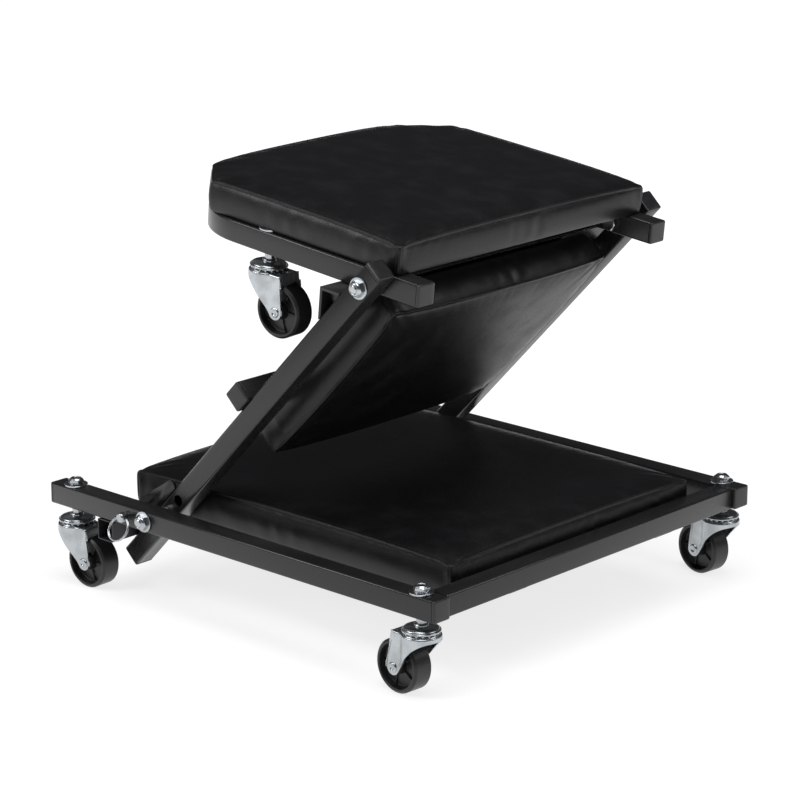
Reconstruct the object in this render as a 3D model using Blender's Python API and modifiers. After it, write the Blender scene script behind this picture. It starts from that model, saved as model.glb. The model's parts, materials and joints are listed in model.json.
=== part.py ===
"""Folding mechanics creeper, set up as a low stool.

Three padded sections of square steel tube are joined by two pairs of hinge bolts.
The base lies on four swivel casters, the middle section leans up from it, and the
seat section folds back over the middle one and carries two more casters.

World frame: +X along the base rails towards the open front end, +Y to the left,
+Z up, with the floor at Z = 0.  Each folding section has an empty on its hinge axis:
in its frame +X runs along the rails and +Z square to them.
"""

import math

import bmesh
import bpy
from mathutils import Matrix, Vector

MM = 0.001
GAP = 0.3 * MM

# Driving dimensions
TUBE = 20.0 * MM
WALL = 1.2 * MM
TUBE_CORNER = 1.6 * MM
BEND_STEPS = 6
BASE_LENGTH = 478.4 * MM
BASE_WIDTH = 432.0 * MM
CAP_HEAD = 3.0 * MM
SPIGOT = 16.2 * MM
CASTER_HEIGHT = 72.4 * MM
PAD_DEPTH = 30.0 * MM

# Hinges
FOLD_ANGLE = math.radians(46.3)
SEAT_TILT = math.radians(5.5)
PIVOT_X = -112.7 * MM
PIVOT_SPAN = 350.0 * MM
SIDE_GAP_LOWER = 7.5 * MM
SIDE_GAP_UPPER = 3.5 * MM
BOLT_RADIUS = 3.9 * MM
BOLT_HOLE = 4.2 * MM
HEX_ACROSS = 13.0 * MM
HEX_HEIGHT = 5.0 * MM
BOLT_STICKOUT = 8.0 * MM
HEAD_GRIP = 4.0 * MM
WASHER_RADIUS = 9.6 * MM
WASHER_THICK = 1.5 * MM
SPACER_RADIUS = 8.0 * MM

# Middle section, along and square to its rails
FOOT = 69.0 * MM
HEAD_OVERHANG = 20.0 * MM
CROSS_AT = 161.5 * MM
STOP_RISE = 18.5 * MM
STOP_THICK = 3.0 * MM
PLATE_THICK = 3.0 * MM
PLATE_HALF = 28.0 * MM
LATCH_HOLE = 5.2 * MM
MIDDLE_PAD_SPAN = (110.0 * MM, 325.0 * MM)
MIDDLE_PAD_WIDTH = 284.0 * MM
MIDDLE_PAD_FACE = -22.0 * MM

# Seat section
SEAT_HEAD = 250.0 * MM
SEAT_OVERHANG = 42.5 * MM
SEAT_BEND = 64.0 * MM
SEAT_CASTER_AT = -138.0 * MM
SEAT_PAD_SPAN = (-252.0 * MM, 20.0 * MM)
SEAT_PAD_WIDTH = 326.0 * MM
SEAT_CHAMFER = 44.0 * MM

# Base section
UNDER_TUBE_X = -165.2 * MM
REAR_CASTER_X = -214.7 * MM
FRONT_CASTER_X = 216.1 * MM
BASE_PAD_SPAN = (-182.2 * MM, 211.3 * MM)
BASE_PAD_WIDTH = 326.0 * MM
BASE_PAD_TOP = 23.0 * MM
BOARD = 6.0 * MM
BOARD_INSET = 4.0 * MM
PAD_EDGE = 5.0 * MM
TAB_SIZE = (30.0 * MM, 24.0 * MM, 2.0 * MM)
TAB_Y = 100.0 * MM

# Lock pin
LOCK_RADIUS = 23.3 * MM
PIN_RADIUS = 3.9 * MM
PIN_HOLE = 4.2 * MM
PIN_STICKOUT = 9.0 * MM
PIN_EYE = 2.2 * MM
KNOB_RADIUS = 4.7 * MM
KNOB_LENGTH = 8.0 * MM
RING_RADIUS = 11.5 * MM
RING_WIRE = 1.2 * MM
RING_SLACK = 0.5 * MM
RING_LEAN = math.radians(30.0)

# Casters, from the stem axis at the tube's underside
WHEEL_RADIUS = 24.2 * MM
WHEEL_WIDTH = 20.4 * MM
TRAIL = 20.6 * MM
AXLE_DROP = CASTER_HEIGHT - WHEEL_RADIUS
STUD_RADIUS = 3.9 * MM
STUD_STICKOUT = 8.8 * MM
NECK_RADIUS = 4.3 * MM
NECK_END = -7.2 * MM
RACE_EDGE = (-11.7 * MM, -12.9 * MM)
RACE_RADIUS = 17.2 * MM
CROWN_TOP = -14.1 * MM
SHEET = 1.8 * MM
FORK_INSIDE = 11.6 * MM
AXLE_RADIUS = 3.4 * MM
LEG_TIP = 6.8 * MM
RIVET_HEAD = 1.4 * MM
HUB_RADIUS = 8.0 * MM
HUB_PROUD = 0.8 * MM
WEB_HALF = 4.0 * MM
RIM_DEPTH = 4.0 * MM
NUT_HEIGHT = 8.5 * MM
NUT_RADIUS = 7.0 * MM
FLAT_WASHER_RADIUS = 10.8 * MM
NUT_POCKET = 13.0 * MM

# Levels worked out from the sizes above
RAIL_Z = CASTER_HEIGHT + TUBE / 2
RIGHT, LEFT = -1, 1
RING_REACH = PIN_STICKOUT / 2 + (2 * RING_RADIUS - RING_SLACK) * math.sin(RING_LEAN) + RING_WIRE
CENTRE_Y = (RING_REACH - BOLT_STICKOUT) / 2
BASE_RAIL_Y = BASE_WIDTH / 2 - TUBE / 2
MIDDLE_RAIL_Y = BASE_RAIL_Y - TUBE - SIDE_GAP_LOWER
SEAT_RAIL_Y = MIDDLE_RAIL_Y - TUBE - SIDE_GAP_UPPER
TUBE_END_X = BASE_LENGTH / 2 - CAP_HEAD
STEEL_LENGTH = 2 * TUBE_END_X

CASTERS = {
    # name: (section, x in the section, side, heading in degrees)
    "front_right": ("base", FRONT_CASTER_X, RIGHT, 177.0),
    "front_left": ("base", FRONT_CASTER_X, LEFT, 174.0),
    "rear_right": ("base", REAR_CASTER_X, RIGHT, 2.0),
    "rear_left": ("base", REAR_CASTER_X, LEFT, 8.0),
    "seat_right": ("seat", SEAT_CASTER_AT, RIGHT, 4.0),
    "seat_left": ("seat", SEAT_CASTER_AT, LEFT, -6.0),
}

for leftover in list(bpy.data.objects):
    bpy.data.objects.remove(leftover, do_unlink=True)

PARTS = bpy.data.collections.new("mechanics_creeper")
CUTTERS = bpy.data.collections.new("cutters")
for group in (PARTS, CUTTERS):
    bpy.context.scene.collection.children.link(group)


def material(name, colour, roughness, metallic=0.0):
    """A Principled material."""
    made = bpy.data.materials.new(name)
    made.use_nodes = True
    shader = made.node_tree.nodes["Principled BSDF"]
    shader.inputs["Base Color"].default_value = (*colour, 1.0)
    shader.inputs["Roughness"].default_value = roughness
    shader.inputs["Metallic"].default_value = metallic
    return made


FRAME_PAINT = material("frame_paint", (0.035, 0.035, 0.037), 0.42)
CAP_PLASTIC = material("cap_plastic", (0.02, 0.02, 0.022), 0.5)
ZINC = material("zinc", (0.62, 0.66, 0.7), 0.28, 1.0)
WHEEL_PLASTIC = material("wheel_plastic", (0.03, 0.03, 0.032), 0.45)
LEATHERETTE = material("leatherette", (0.012, 0.012, 0.014), 0.4)
PLYWOOD = material("plywood", (0.42, 0.3, 0.18), 0.7)


def empty(name, location, parent=None, rotation=(0.0, 0.0, 0.0)):
    """An empty that marks a hinge or a stem axis."""
    made = bpy.data.objects.new(name, None)
    PARTS.objects.link(made)
    made.parent = parent
    made.location = location
    made.rotation_euler = rotation
    return made


def add(name, shape, finish, parent=None, location=(0, 0, 0), rotation=(0, 0, 0), smooth=False):
    """A named part made from a bmesh, placed in its parent's frame."""
    bmesh.ops.recalc_face_normals(shape, faces=shape.faces)
    mesh = bpy.data.meshes.new(name)
    shape.to_mesh(mesh)
    shape.free()
    if smooth:
        mesh.shade_smooth()
        mesh.set_sharp_from_angle(angle=math.radians(35))
    made = bpy.data.objects.new(name, mesh)
    if finish is None:
        CUTTERS.objects.link(made)
        made.hide_render = True
        made.display_type = "WIRE"
    else:
        PARTS.objects.link(made)
        mesh.materials.append(finish)
    made.parent = parent
    made.location = location
    made.rotation_euler = rotation
    return made


def combine(target, tool, operation="DIFFERENCE"):
    """Cut or join a part with another object, exactly."""
    boolean = target.modifiers.new(tool.name, "BOOLEAN")
    boolean.object = tool
    boolean.operation = operation
    boolean.solver = "EXACT"


def block(size, centre=(0, 0, 0), corner=0.0):
    """A box, with its edges rounded where a corner radius is given."""
    shape = bmesh.new()
    bmesh.ops.create_cube(shape, size=1.0)
    bmesh.ops.scale(shape, vec=size, verts=shape.verts)
    if corner:
        bmesh.ops.bevel(shape, geom=shape.edges[:], offset=corner, segments=2, affect="EDGES", profile=0.5)
    bmesh.ops.translate(shape, vec=centre, verts=shape.verts)
    return shape


def rod(radius, start, end, segments=14):
    """A cylinder between two points."""
    start, end = Vector(start), Vector(end)
    shape = bmesh.new()
    bmesh.ops.create_cone(
        shape, cap_ends=True, segments=segments, radius1=radius, radius2=radius, depth=(end - start).length
    )
    turn = (end - start).to_track_quat("Z", "Y").to_matrix().to_4x4()
    bmesh.ops.transform(shape, matrix=Matrix.Translation((start + end) / 2) @ turn, verts=shape.verts)
    return shape


def drill(target, radius, start, end, parent=None):
    """Cut a round hole through a part."""
    combine(target, add(f"{target.name}_drill", rod(radius, start, end), None, parent))


def square_ring(side, corner, steps=1):
    """The outline of a square with round corners, counter-clockwise in Y and Z."""
    reach = side / 2 - corner
    outline = []
    for quarter, (sy, sz) in enumerate(((1, 1), (-1, 1), (-1, -1), (1, -1))):
        for step in range(steps + 1):
            angle = math.radians(90) * (quarter + step / steps)
            outline.append((sy * reach + corner * math.cos(angle), sz * reach + corner * math.sin(angle)))
    return outline


def square_tube(moves):
    """A hollow square tube that starts at the origin along +X.

    Each move is ("straight", length) or ("bend", radius, angle), a bend turning to the left
    about a vertical axis.
    """
    shape = bmesh.new()
    outer = [shape.verts.new((0, y, z)) for y, z in square_ring(TUBE, TUBE_CORNER)]
    inner = [shape.verts.new((0, y, z)) for y, z in square_ring(TUBE - 2 * WALL, TUBE_CORNER - WALL / 2)]
    count = len(outer)
    for i in range(count):
        j = (i + 1) % count
        shape.faces.new((outer[i], outer[j], inner[j], inner[i]))
    front = list(shape.faces)
    tip = Vector((0, 0, 0))
    heading = 0.0

    def push(step):
        """Extrude the open end and move it by a matrix."""
        inside = [face for face in front if any(len(edge.link_faces) > 1 and
                  any(other not in front for other in edge.link_faces) for edge in face.edges)]
        grown = bmesh.ops.extrude_face_region(shape, geom=front)
        bmesh.ops.delete(shape, geom=[face for face in inside if face.is_valid], context="FACES_ONLY")
        front[:] = [part for part in grown["geom"] if isinstance(part, bmesh.types.BMFace)]
        corners = list({corner for face in front for corner in face.verts})
        bmesh.ops.transform(shape, matrix=step, verts=corners)

    for kind, size, *angle in moves:
        along = Vector((math.cos(heading), math.sin(heading), 0))
        if kind == "straight":
            push(Matrix.Translation(along * size))
            tip += along * size
            continue
        centre = tip + Vector((-along.y, along.x, 0)) * size
        spin = Matrix.Rotation(angle[0] / BEND_STEPS, 4, "Z")
        for _ in range(BEND_STEPS):
            push(Matrix.Translation(centre) @ spin @ Matrix.Translation(-centre))
        tip = centre + Matrix.Rotation(angle[0], 3, "Z") @ (tip - centre)
        heading += angle[0]
    return shape


def turned(profile, segments=16):
    """A solid of revolution about Z from (radius, height) pairs, run down the outer side.

    The first and last points lie on the axis, or the outline closes on itself round a bore.
    """
    shape = bmesh.new()
    points = [shape.verts.new((radius, 0, height)) for radius, height in profile]
    closed = profile[0][0] > 0
    rims = [shape.edges.new(pair) for pair in zip(points, points[1:])]
    if closed:
        rims.append(shape.edges.new((points[-1], points[0])))
    bmesh.ops.spin(
        shape, geom=points + rims, cent=(0, 0, 0), axis=(0, 0, 1), angle=math.tau, steps=segments
    )
    bmesh.ops.remove_doubles(shape, verts=shape.verts, dist=1e-6)
    return shape


def slab(name, outline, thickness, finish, parent, location=(0, 0, 0), rotation=(0, 0, 0)):
    """A flat plate: a 2D outline with half its thickness on each side, as a mesh object."""
    curve = bpy.data.curves.new(name, "CURVE")
    curve.dimensions = "2D"
    curve.fill_mode = "BOTH"
    curve.extrude = thickness / 2
    spline = curve.splines.new("POLY")
    spline.points.add(len(outline) - 1)
    for point, (x, y) in zip(spline.points, outline):
        point.co = (x, y, 0, 1)
    spline.use_cyclic_u = True
    drawn = bpy.data.objects.new(f"{name}_outline", curve)
    PARTS.objects.link(drawn)
    bpy.context.view_layer.update()
    mesh = bpy.data.meshes.new_from_object(drawn.evaluated_get(bpy.context.evaluated_depsgraph_get()))
    bpy.data.objects.remove(drawn, do_unlink=True)
    shape = bmesh.new()
    shape.from_mesh(mesh)
    bpy.data.meshes.remove(mesh)
    bmesh.ops.remove_doubles(shape, verts=shape.verts, dist=1e-6)
    return add(name, shape, finish, parent, location, rotation)


def arc(centre, radius, start, end, steps=5):
    """Points along an arc, angles in degrees."""
    angles = [math.radians(start + (end - start) * step / steps) for step in range(steps + 1)]
    return [(centre[0] + radius * math.cos(a), centre[1] + radius * math.sin(a)) for a in angles]


UPRIGHT = (math.pi / 2, 0, 0)


def tube_along_x(name, x0, length, y, z, parent):
    """A straight hollow tube along the section."""
    return add(name, square_tube([("straight", length)]), FRAME_PAINT, parent, (x0, y, z))


def tube_across(name, x, width, z, parent, centre_y=0.0):
    """A straight hollow tube across the section."""
    start = (x, centre_y - width / 2, z)
    return add(name, square_tube([("straight", width)]), FRAME_PAINT, parent, start, (0, 0, math.pi / 2))


def end_cap(name, parent, location, outwards):
    """A plastic plug: a square head against the tube's end and a spigot inside it."""
    shape = block((CAP_HEAD, TUBE, TUBE), (CAP_HEAD / 2 + GAP, 0, 0), 0.7 * MM)
    head = add(name, shape, CAP_PLASTIC, parent, location, (0, 0, outwards))
    spigot = block((10 * MM, SPIGOT, SPIGOT), (-4 * MM, 0, 0))
    combine(head, add(f"{name}_spigot", spigot, None, parent, location, (0, 0, outwards)), "UNION")
    return head


def hinge_bolt(name, parent, x, y_head, y_nut, side, spacer):
    """A hinge bolt along Y through two rails, one solid with its head, spacer, washer and nut.

    The head seats at the distance y_head from the middle and the nut at y_nut, and the
    spacer fills the span between the two rails.
    """
    def across(reach):
        return (x, side * reach, 0)

    corner = HEX_ACROSS / 2 / math.cos(math.pi / 6)
    nut_from = y_nut + GAP + WASHER_THICK
    shank = rod(BOLT_RADIUS, across(y_head - HEAD_GRIP), across(y_nut + BOLT_STICKOUT))
    bolt = add(name, shank, ZINC, parent)
    pieces = {
        "washer": rod(WASHER_RADIUS, across(y_nut + GAP), across(nut_from)),
        "nut": rod(corner, across(nut_from - GAP), across(nut_from + HEX_HEIGHT), 6),
        "head": rod(corner, across(y_head - GAP), across(y_head - HEX_HEIGHT), 6),
        "spacer": rod(SPACER_RADIUS, across(spacer[0] + GAP), across(spacer[1] - GAP)),
    }
    for piece, shape in pieces.items():
        combine(bolt, add(f"{name}_{piece}", shape, None, parent), "UNION")
    return bolt


def padded_board(prefix, parent, span, width, back, face, chamfer=0.0, up=1):
    """A plywood board and the foam pad whose cover wraps down round the board's edges.

    The board's back lies at height back, the pad's face at height face, and up says which way
    the face looks along the section's Z.
    """
    x0, x1 = span
    half = width / 2

    def outline(inset):
        low, high, side, cut = x0 + inset, x1 - inset, half - inset, chamfer
        if not cut:
            return [(low, -side), (high, -side), (high, side), (low, side)]
        corners = [(low + cut, -side), (high, -side), (high, side), (low + cut, side)]
        return corners + [(low, side - cut), (low, cut - side)]

    depth = abs(face - back)
    pad = slab(f"{prefix}_pad", outline(0), depth, LEATHERETTE, parent, (0, 0, (back + face) / 2))
    rounded = pad.modifiers.new("edge", "BEVEL")
    rounded.width = PAD_EDGE
    rounded.segments = 1
    recess = slab(f"{prefix}_recess", outline(BOARD_INSET), 2 * (BOARD + GAP), None, parent, (0, 0, back))
    combine(pad, recess)
    board_z = back + up * BOARD / 2
    board = slab(f"{prefix}_board", outline(BOARD_INSET + GAP), BOARD, PLYWOOD, parent, (0, 0, board_z))
    return pad, board


def caster_drill(rail, parent, x, y, z=0.0):
    """The stud's hole through both walls of a tube."""
    drill(rail, STUD_RADIUS + GAP, (x, y, z - TUBE), (x, y, z + TUBE), parent)


def fork_outline():
    """Side view of a fork leg: upright at the back, swept in at the front, round at the axle."""
    low_front = CROWN_TOP - SHEET - 4 * MM
    front = [(-15 * MM, CROWN_TOP), (-15.5 * MM, low_front), (-4 * MM, low_front - 4 * MM)]
    knee = [(6 * MM, -AXLE_DROP + 8 * MM)]
    tip = arc((TRAIL, -AXLE_DROP), LEG_TIP, 215, 360)
    return front + knee + tip + [(TRAIL + LEG_TIP, CROWN_TOP)]


def stem_profile():
    """Outline of a stem: stud through the tube, neck under it and the domed upper race."""
    top, seat, rim = TUBE + STUD_STICKOUT, -GAP, RACE_EDGE
    return [
        (0, top), (STUD_RADIUS, top), (STUD_RADIUS, seat), (NECK_RADIUS, seat), (NECK_RADIUS, NECK_END),
        (0.7 * RACE_RADIUS, (NECK_END + rim[0]) / 2 + GAP), (RACE_RADIUS, rim[0]), (RACE_RADIUS, rim[1]),
        (0, rim[1]),
    ]


def nut_profile():
    """Outline of a flat washer, a spring washer and a lock nut stacked on the tube."""
    bore, level = STUD_RADIUS + GAP, TUBE + GAP
    washer, spring = level + WASHER_THICK, level + 2 * WASHER_THICK
    return [
        (bore, level + NUT_HEIGHT), (NUT_RADIUS - MM, level + NUT_HEIGHT), (NUT_RADIUS, spring + 3 * MM),
        (NUT_RADIUS, spring), (NUT_RADIUS + MM, spring), (NUT_RADIUS + MM, washer),
        (FLAT_WASHER_RADIUS, washer), (FLAT_WASHER_RADIUS, level), (bore, level),
    ]


def wheel_profile():
    """Outline of half a wheel: proud hub, thin web and a rim with soft shoulders."""
    half, bore, hub = WHEEL_WIDTH / 2, AXLE_RADIUS + GAP, WHEEL_WIDTH / 2 + HUB_PROUD
    rim = WHEEL_RADIUS - RIM_DEPTH
    return [
        (bore, hub), (HUB_RADIUS, hub), (HUB_RADIUS, WEB_HALF), (rim, WEB_HALF), (rim, half - GAP),
        (WHEEL_RADIUS - 1.5 * MM, half), (WHEEL_RADIUS, half - 2 * MM),
    ]


def caster(name, parent, location, heading):
    """A swivel stem caster: stud with its upper race, fork with its riveted axle, wheel and nuts."""
    stem_axis = empty(f"{name}_stem_axis", location, parent)
    fork_axis = empty(f"{name}_fork_axis", (0, 0, 0), stem_axis, (0, 0, math.radians(heading)))
    add(f"{name}_stem", turned(stem_profile()), ZINC, stem_axis, smooth=True)
    add(f"{name}_nut", turned(nut_profile()), ZINC, stem_axis, smooth=True)

    leg_y = FORK_INSIDE + SHEET / 2
    crown = rod(RACE_RADIUS + 2 * GAP, (0, 0, CROWN_TOP - SHEET), (0, 0, CROWN_TOP), 18)
    fork = add(f"{name}_fork", crown, ZINC, fork_axis)
    bridge_end = TRAIL + LEG_TIP
    bridge = block((bridge_end, 2 * leg_y, SHEET), (bridge_end / 2, 0, CROWN_TOP - SHEET / 2))
    combine(fork, add(f"{name}_bridge", bridge, None, fork_axis), "UNION")
    for side in (RIGHT, LEFT):
        leg = slab(f"{name}_leg", fork_outline(), SHEET, None, fork_axis, (0, side * leg_y, 0), UPRIGHT)
        combine(fork, leg, "UNION")
    reach = FORK_INSIDE + SHEET + RIVET_HEAD
    axle = rod(AXLE_RADIUS, (TRAIL, -reach, -AXLE_DROP), (TRAIL, reach, -AXLE_DROP), 12)
    combine(fork, add(f"{name}_axle", axle, None, fork_axis), "UNION")

    outside = wheel_profile()
    wheel = outside + [(radius, -height) for radius, height in reversed(outside)]
    hub = (TRAIL, 0, -AXLE_DROP)
    add(f"{name}_wheel", turned(wheel, 24), WHEEL_PLASTIC, fork_axis, hub, UPRIGHT, smooth=True)


def build_base():
    """Base section: side rails, front rail, under tube, pad, lock pin and lower hinge bolts."""
    base = empty("base_frame", (0, CENTRE_Y, RAIL_Z))
    for side, word in ((RIGHT, "right"), (LEFT, "left")):
        y = side * BASE_RAIL_Y
        rail = tube_along_x(f"base_rail_{word}", -TUBE_END_X, STEEL_LENGTH, y, 0, base)
        for x in (REAR_CASTER_X, FRONT_CASTER_X):
            caster_drill(rail, base, x, y)
        drill(rail, BOLT_HOLE, (PIVOT_X, y - TUBE, 0), (PIVOT_X, y + TUBE, 0), base)
        if side == RIGHT:
            pin_x = PIVOT_X - LOCK_RADIUS
            drill(rail, PIN_HOLE, (pin_x, y - TUBE, 0), (pin_x, y + TUBE, 0), base)
        end_cap(f"base_cap_front_{word}", base, (TUBE_END_X, y, 0), 0)
        end_cap(f"base_cap_rear_{word}", base, (-TUBE_END_X, y, 0), math.pi)
        inner = BASE_RAIL_Y - TUBE / 2
        hinge_bolt(
            f"lower_hinge_bolt_{word}", base, PIVOT_X, MIDDLE_RAIL_Y - TUBE / 2, BASE_WIDTH / 2, side,
            (inner - SIDE_GAP_LOWER, inner),
        )
        tab_x = TUBE_END_X - TUBE + GAP
        tab = block(TAB_SIZE, (tab_x, side * TAB_Y, -TUBE / 2 - TAB_SIZE[2] / 2 - GAP))
        add(f"pad_tab_{word}", tab, FRAME_PAINT, base)
    between = 2 * (BASE_RAIL_Y - TUBE / 2 - GAP)
    tube_across("base_front_rail", TUBE_END_X - TUBE / 2, between, 0, base)
    tube_across("base_under_tube", UNDER_TUBE_X, BASE_WIDTH, -TUBE - GAP, base)
    padded_board("base", base, BASE_PAD_SPAN, BASE_PAD_WIDTH, -TUBE / 2 + GAP, BASE_PAD_TOP)
    build_lock_pin(base)
    return base


def build_lock_pin(base):
    """Lock pin across the right base rail, with a ring through the eye in its outer end."""
    outside = -BASE_WIDTH / 2 - PIN_STICKOUT
    tip = -BASE_RAIL_Y + TUBE / 2 + SIDE_GAP_LOWER - GAP
    x = PIVOT_X - LOCK_RADIUS
    pin = add("lock_pin", rod(PIN_RADIUS, (0, 0, 0), (0, tip - outside, 0)), ZINC, base, (x, outside, 0))
    eye = PIN_STICKOUT / 2
    knob = add("lock_pin_knob", rod(KNOB_RADIUS, (x, outside, 0), (x, outside + KNOB_LENGTH, 0)), None, base)
    combine(pin, knob, "UNION")
    drill(pin, PIN_EYE, (x - TUBE, outside + eye, 0), (x + TUBE, outside + eye, 0), base)
    hang = empty("ring_axis", (x, outside + eye, 0), base, (-RING_LEAN, 0, 0))
    bpy.ops.mesh.primitive_torus_add(
        major_radius=RING_RADIUS, minor_radius=RING_WIRE, major_segments=20, minor_segments=6
    )
    ring = bpy.context.object
    ring.name = "pin_ring"
    for owner in list(ring.users_collection):
        owner.objects.unlink(ring)
    PARTS.objects.link(ring)
    ring.data.materials.append(ZINC)
    ring.parent = hang
    ring.location = (0, 0, -RING_RADIUS + RING_SLACK)
    ring.rotation_euler = UPRIGHT


def stop_outline(underside):
    """Side view of the angle bar: its upper leg lies flat under the seat rails, its feet on the rail."""
    lean = FOLD_ANGLE + SEAT_TILT
    sine, cosine = math.sin(lean), math.cos(lean)
    apex = PIVOT_SPAN - (TUBE / 2 + GAP + cosine * (underside + STOP_RISE)) / sine
    points = []
    for depth in (0.0, STOP_THICK):
        front = (apex + (cosine * STOP_RISE - depth) / sine, 0)
        peak = (apex + depth * (cosine - sine), STOP_RISE - depth * (cosine + sine))
        back = (apex + (depth - sine * STOP_RISE) / cosine, 0)
        points += [front, peak, back] if depth == 0.0 else [back, peak, front]
    return points


def build_middle(base):
    """Middle section, in a frame on the lower hinge axis with +X up along its rails."""
    middle = empty("middle_hinge", (PIVOT_X, 0, 0), base, (0, -FOLD_ANGLE, 0))
    length = FOOT + PIVOT_SPAN + HEAD_OVERHANG
    underside = TUBE / 2 + GAP
    outer = MIDDLE_RAIL_Y + TUBE / 2
    for side, word in ((RIGHT, "right"), (LEFT, "left")):
        y = side * MIDDLE_RAIL_Y
        rail = tube_along_x(f"middle_rail_{word}", -FOOT, length, y, 0, middle)
        for x in (0, PIVOT_SPAN):
            drill(rail, BOLT_HOLE, (x, y - TUBE, 0), (x, y + TUBE, 0), middle)
        if side == RIGHT:
            drill(rail, LATCH_HOLE, (LOCK_RADIUS, y - TUBE, 0), (LOCK_RADIUS, y - TUBE / 4, 0), middle)
        end_cap(f"middle_cap_foot_{word}", middle, (-FOOT, y, 0), math.pi)
        end_cap(f"middle_cap_top_{word}", middle, (length - FOOT, y, 0), 0)
        ends_y = side * outer
        end_cap(f"cross_cap_{word}", middle, (CROSS_AT, ends_y, underside + TUBE / 2), side * math.pi / 2)
        inner = MIDDLE_RAIL_Y - TUBE / 2
        hinge_bolt(
            f"upper_hinge_bolt_{word}", middle, PIVOT_SPAN, SEAT_RAIL_Y - TUBE / 2, outer, side,
            (inner - SIDE_GAP_UPPER, inner),
        )
    tube_across("middle_cross_tube", CROSS_AT, 2 * outer, underside + TUBE / 2, middle)
    stop = stop_outline(underside)
    slab("seat_stop_angle", stop, 2 * outer, FRAME_PAINT, middle, (0, 0, underside), UPRIGHT)
    plate = [(-PLATE_HALF, 0), (PLATE_HALF, 0)] + arc((PLATE_HALF - 3 * MM, 5 * MM), 5 * MM, 0, 75, 3)
    plate += arc((10 * MM - PLATE_HALF, 15 * MM), 5 * MM, 78, 120, 2) + [(-PLATE_HALF, 12 * MM)]
    lock_y = -outer + PLATE_THICK / 2
    lock = slab("lock_plate", plate, PLATE_THICK, FRAME_PAINT, middle, (0, lock_y, underside), UPRIGHT)
    at = (-LOCK_RADIUS * math.cos(FOLD_ANGLE), LOCK_RADIUS * math.sin(FOLD_ANGLE))
    drill(lock, PIN_HOLE, (at[0], -outer - TUBE, at[1]), (at[0], -outer + TUBE, at[1]), middle)
    padded_board(
        "middle", middle, MIDDLE_PAD_SPAN, MIDDLE_PAD_WIDTH, TUBE / 2 - GAP, MIDDLE_PAD_FACE, up=-1
    )
    return middle


def build_seat(base):
    """Seat section, in a frame on the upper hinge axis with +X down along its rails."""
    top = (PIVOT_X + PIVOT_SPAN * math.cos(FOLD_ANGLE), 0, PIVOT_SPAN * math.sin(FOLD_ANGLE))
    seat = empty("seat_hinge", top, base, (0, SEAT_TILT, 0))
    centre_bend = SEAT_HEAD - TUBE / 2 - SEAT_BEND
    straight = SEAT_OVERHANG + centre_bend
    across = 2 * (SEAT_RAIL_Y - SEAT_BEND)
    quarter = math.pi / 2
    moves = [
        ("straight", straight), ("bend", SEAT_BEND, quarter), ("straight", across),
        ("bend", SEAT_BEND, quarter), ("straight", straight),
    ]
    start = (SEAT_OVERHANG, SEAT_RAIL_Y, 0)
    frame = add("seat_frame", square_tube(moves), FRAME_PAINT, seat, start, (0, 0, math.pi))
    for side, word in ((RIGHT, "right"), (LEFT, "left")):
        y = side * SEAT_RAIL_Y
        drill(frame, BOLT_HOLE, (0, y - TUBE, 0), (0, y + TUBE, 0), seat)
        caster_drill(frame, seat, SEAT_CASTER_AT, y)
        end_cap(f"seat_cap_{word}", seat, (SEAT_OVERHANG, y, 0), 0)
    face = TUBE / 2 + GAP + PAD_DEPTH - 2 * MM
    cushion = padded_board("seat", seat, SEAT_PAD_SPAN, SEAT_PAD_WIDTH, TUBE / 2 + GAP, face, SEAT_CHAMFER)
    for piece in cushion:
        for side in (RIGHT, LEFT):
            at = (SEAT_CASTER_AT, side * SEAT_RAIL_Y)
            drill(piece, NUT_POCKET, (*at, 0), (*at, TUBE / 2 + NUT_HEIGHT + 2 * MM), seat)
    return seat


base_frame = build_base()
build_middle(base_frame)
seat_frame = build_seat(base_frame)
for caster_name, (section, along, hand, heading_deg) in CASTERS.items():
    owner = base_frame if section == "base" else seat_frame
    rail_y = BASE_RAIL_Y if section == "base" else SEAT_RAIL_Y
    caster(caster_name, owner, (along, hand * rail_y, -TUBE / 2), heading_deg)
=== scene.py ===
"""Folding mechanics creeper, set up as a low stool, dressed for display.

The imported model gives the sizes, the places and the joints.  Every visible piece is
made again here as a finer surface in the same place: rolled square tube, moulded caps,
zinc casters and fasteners, and three stuffed faux-leather pads.
"""

from __future__ import annotations

import json
import logging
import math
from collections.abc import Callable, Mapping, Sequence
from dataclasses import dataclass
from enum import Enum
from typing import Any

import bmesh
import bpy
import numpy as np
from mathutils import Matrix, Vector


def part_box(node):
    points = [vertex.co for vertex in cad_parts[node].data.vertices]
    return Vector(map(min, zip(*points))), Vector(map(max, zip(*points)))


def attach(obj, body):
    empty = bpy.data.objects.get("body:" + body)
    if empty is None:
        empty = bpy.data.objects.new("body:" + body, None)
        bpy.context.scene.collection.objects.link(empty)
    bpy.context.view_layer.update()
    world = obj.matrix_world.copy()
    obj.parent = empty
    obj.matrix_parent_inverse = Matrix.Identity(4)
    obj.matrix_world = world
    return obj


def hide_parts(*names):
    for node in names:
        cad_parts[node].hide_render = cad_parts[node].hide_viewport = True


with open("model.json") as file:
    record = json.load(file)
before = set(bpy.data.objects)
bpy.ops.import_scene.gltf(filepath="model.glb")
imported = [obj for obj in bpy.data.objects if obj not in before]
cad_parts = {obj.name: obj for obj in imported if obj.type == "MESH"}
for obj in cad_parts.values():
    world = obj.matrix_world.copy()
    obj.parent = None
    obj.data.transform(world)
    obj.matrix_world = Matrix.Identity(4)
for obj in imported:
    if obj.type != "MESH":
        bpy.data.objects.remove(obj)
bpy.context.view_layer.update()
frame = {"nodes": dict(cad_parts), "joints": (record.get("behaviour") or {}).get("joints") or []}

Array = np.ndarray
LOG = logging.getLogger("creeper")
MM = 0.001
WELD = 1e-6
NEARLY_NOTHING = 1e-9
SEAM_DISTANCE = "seam_distance"
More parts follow.
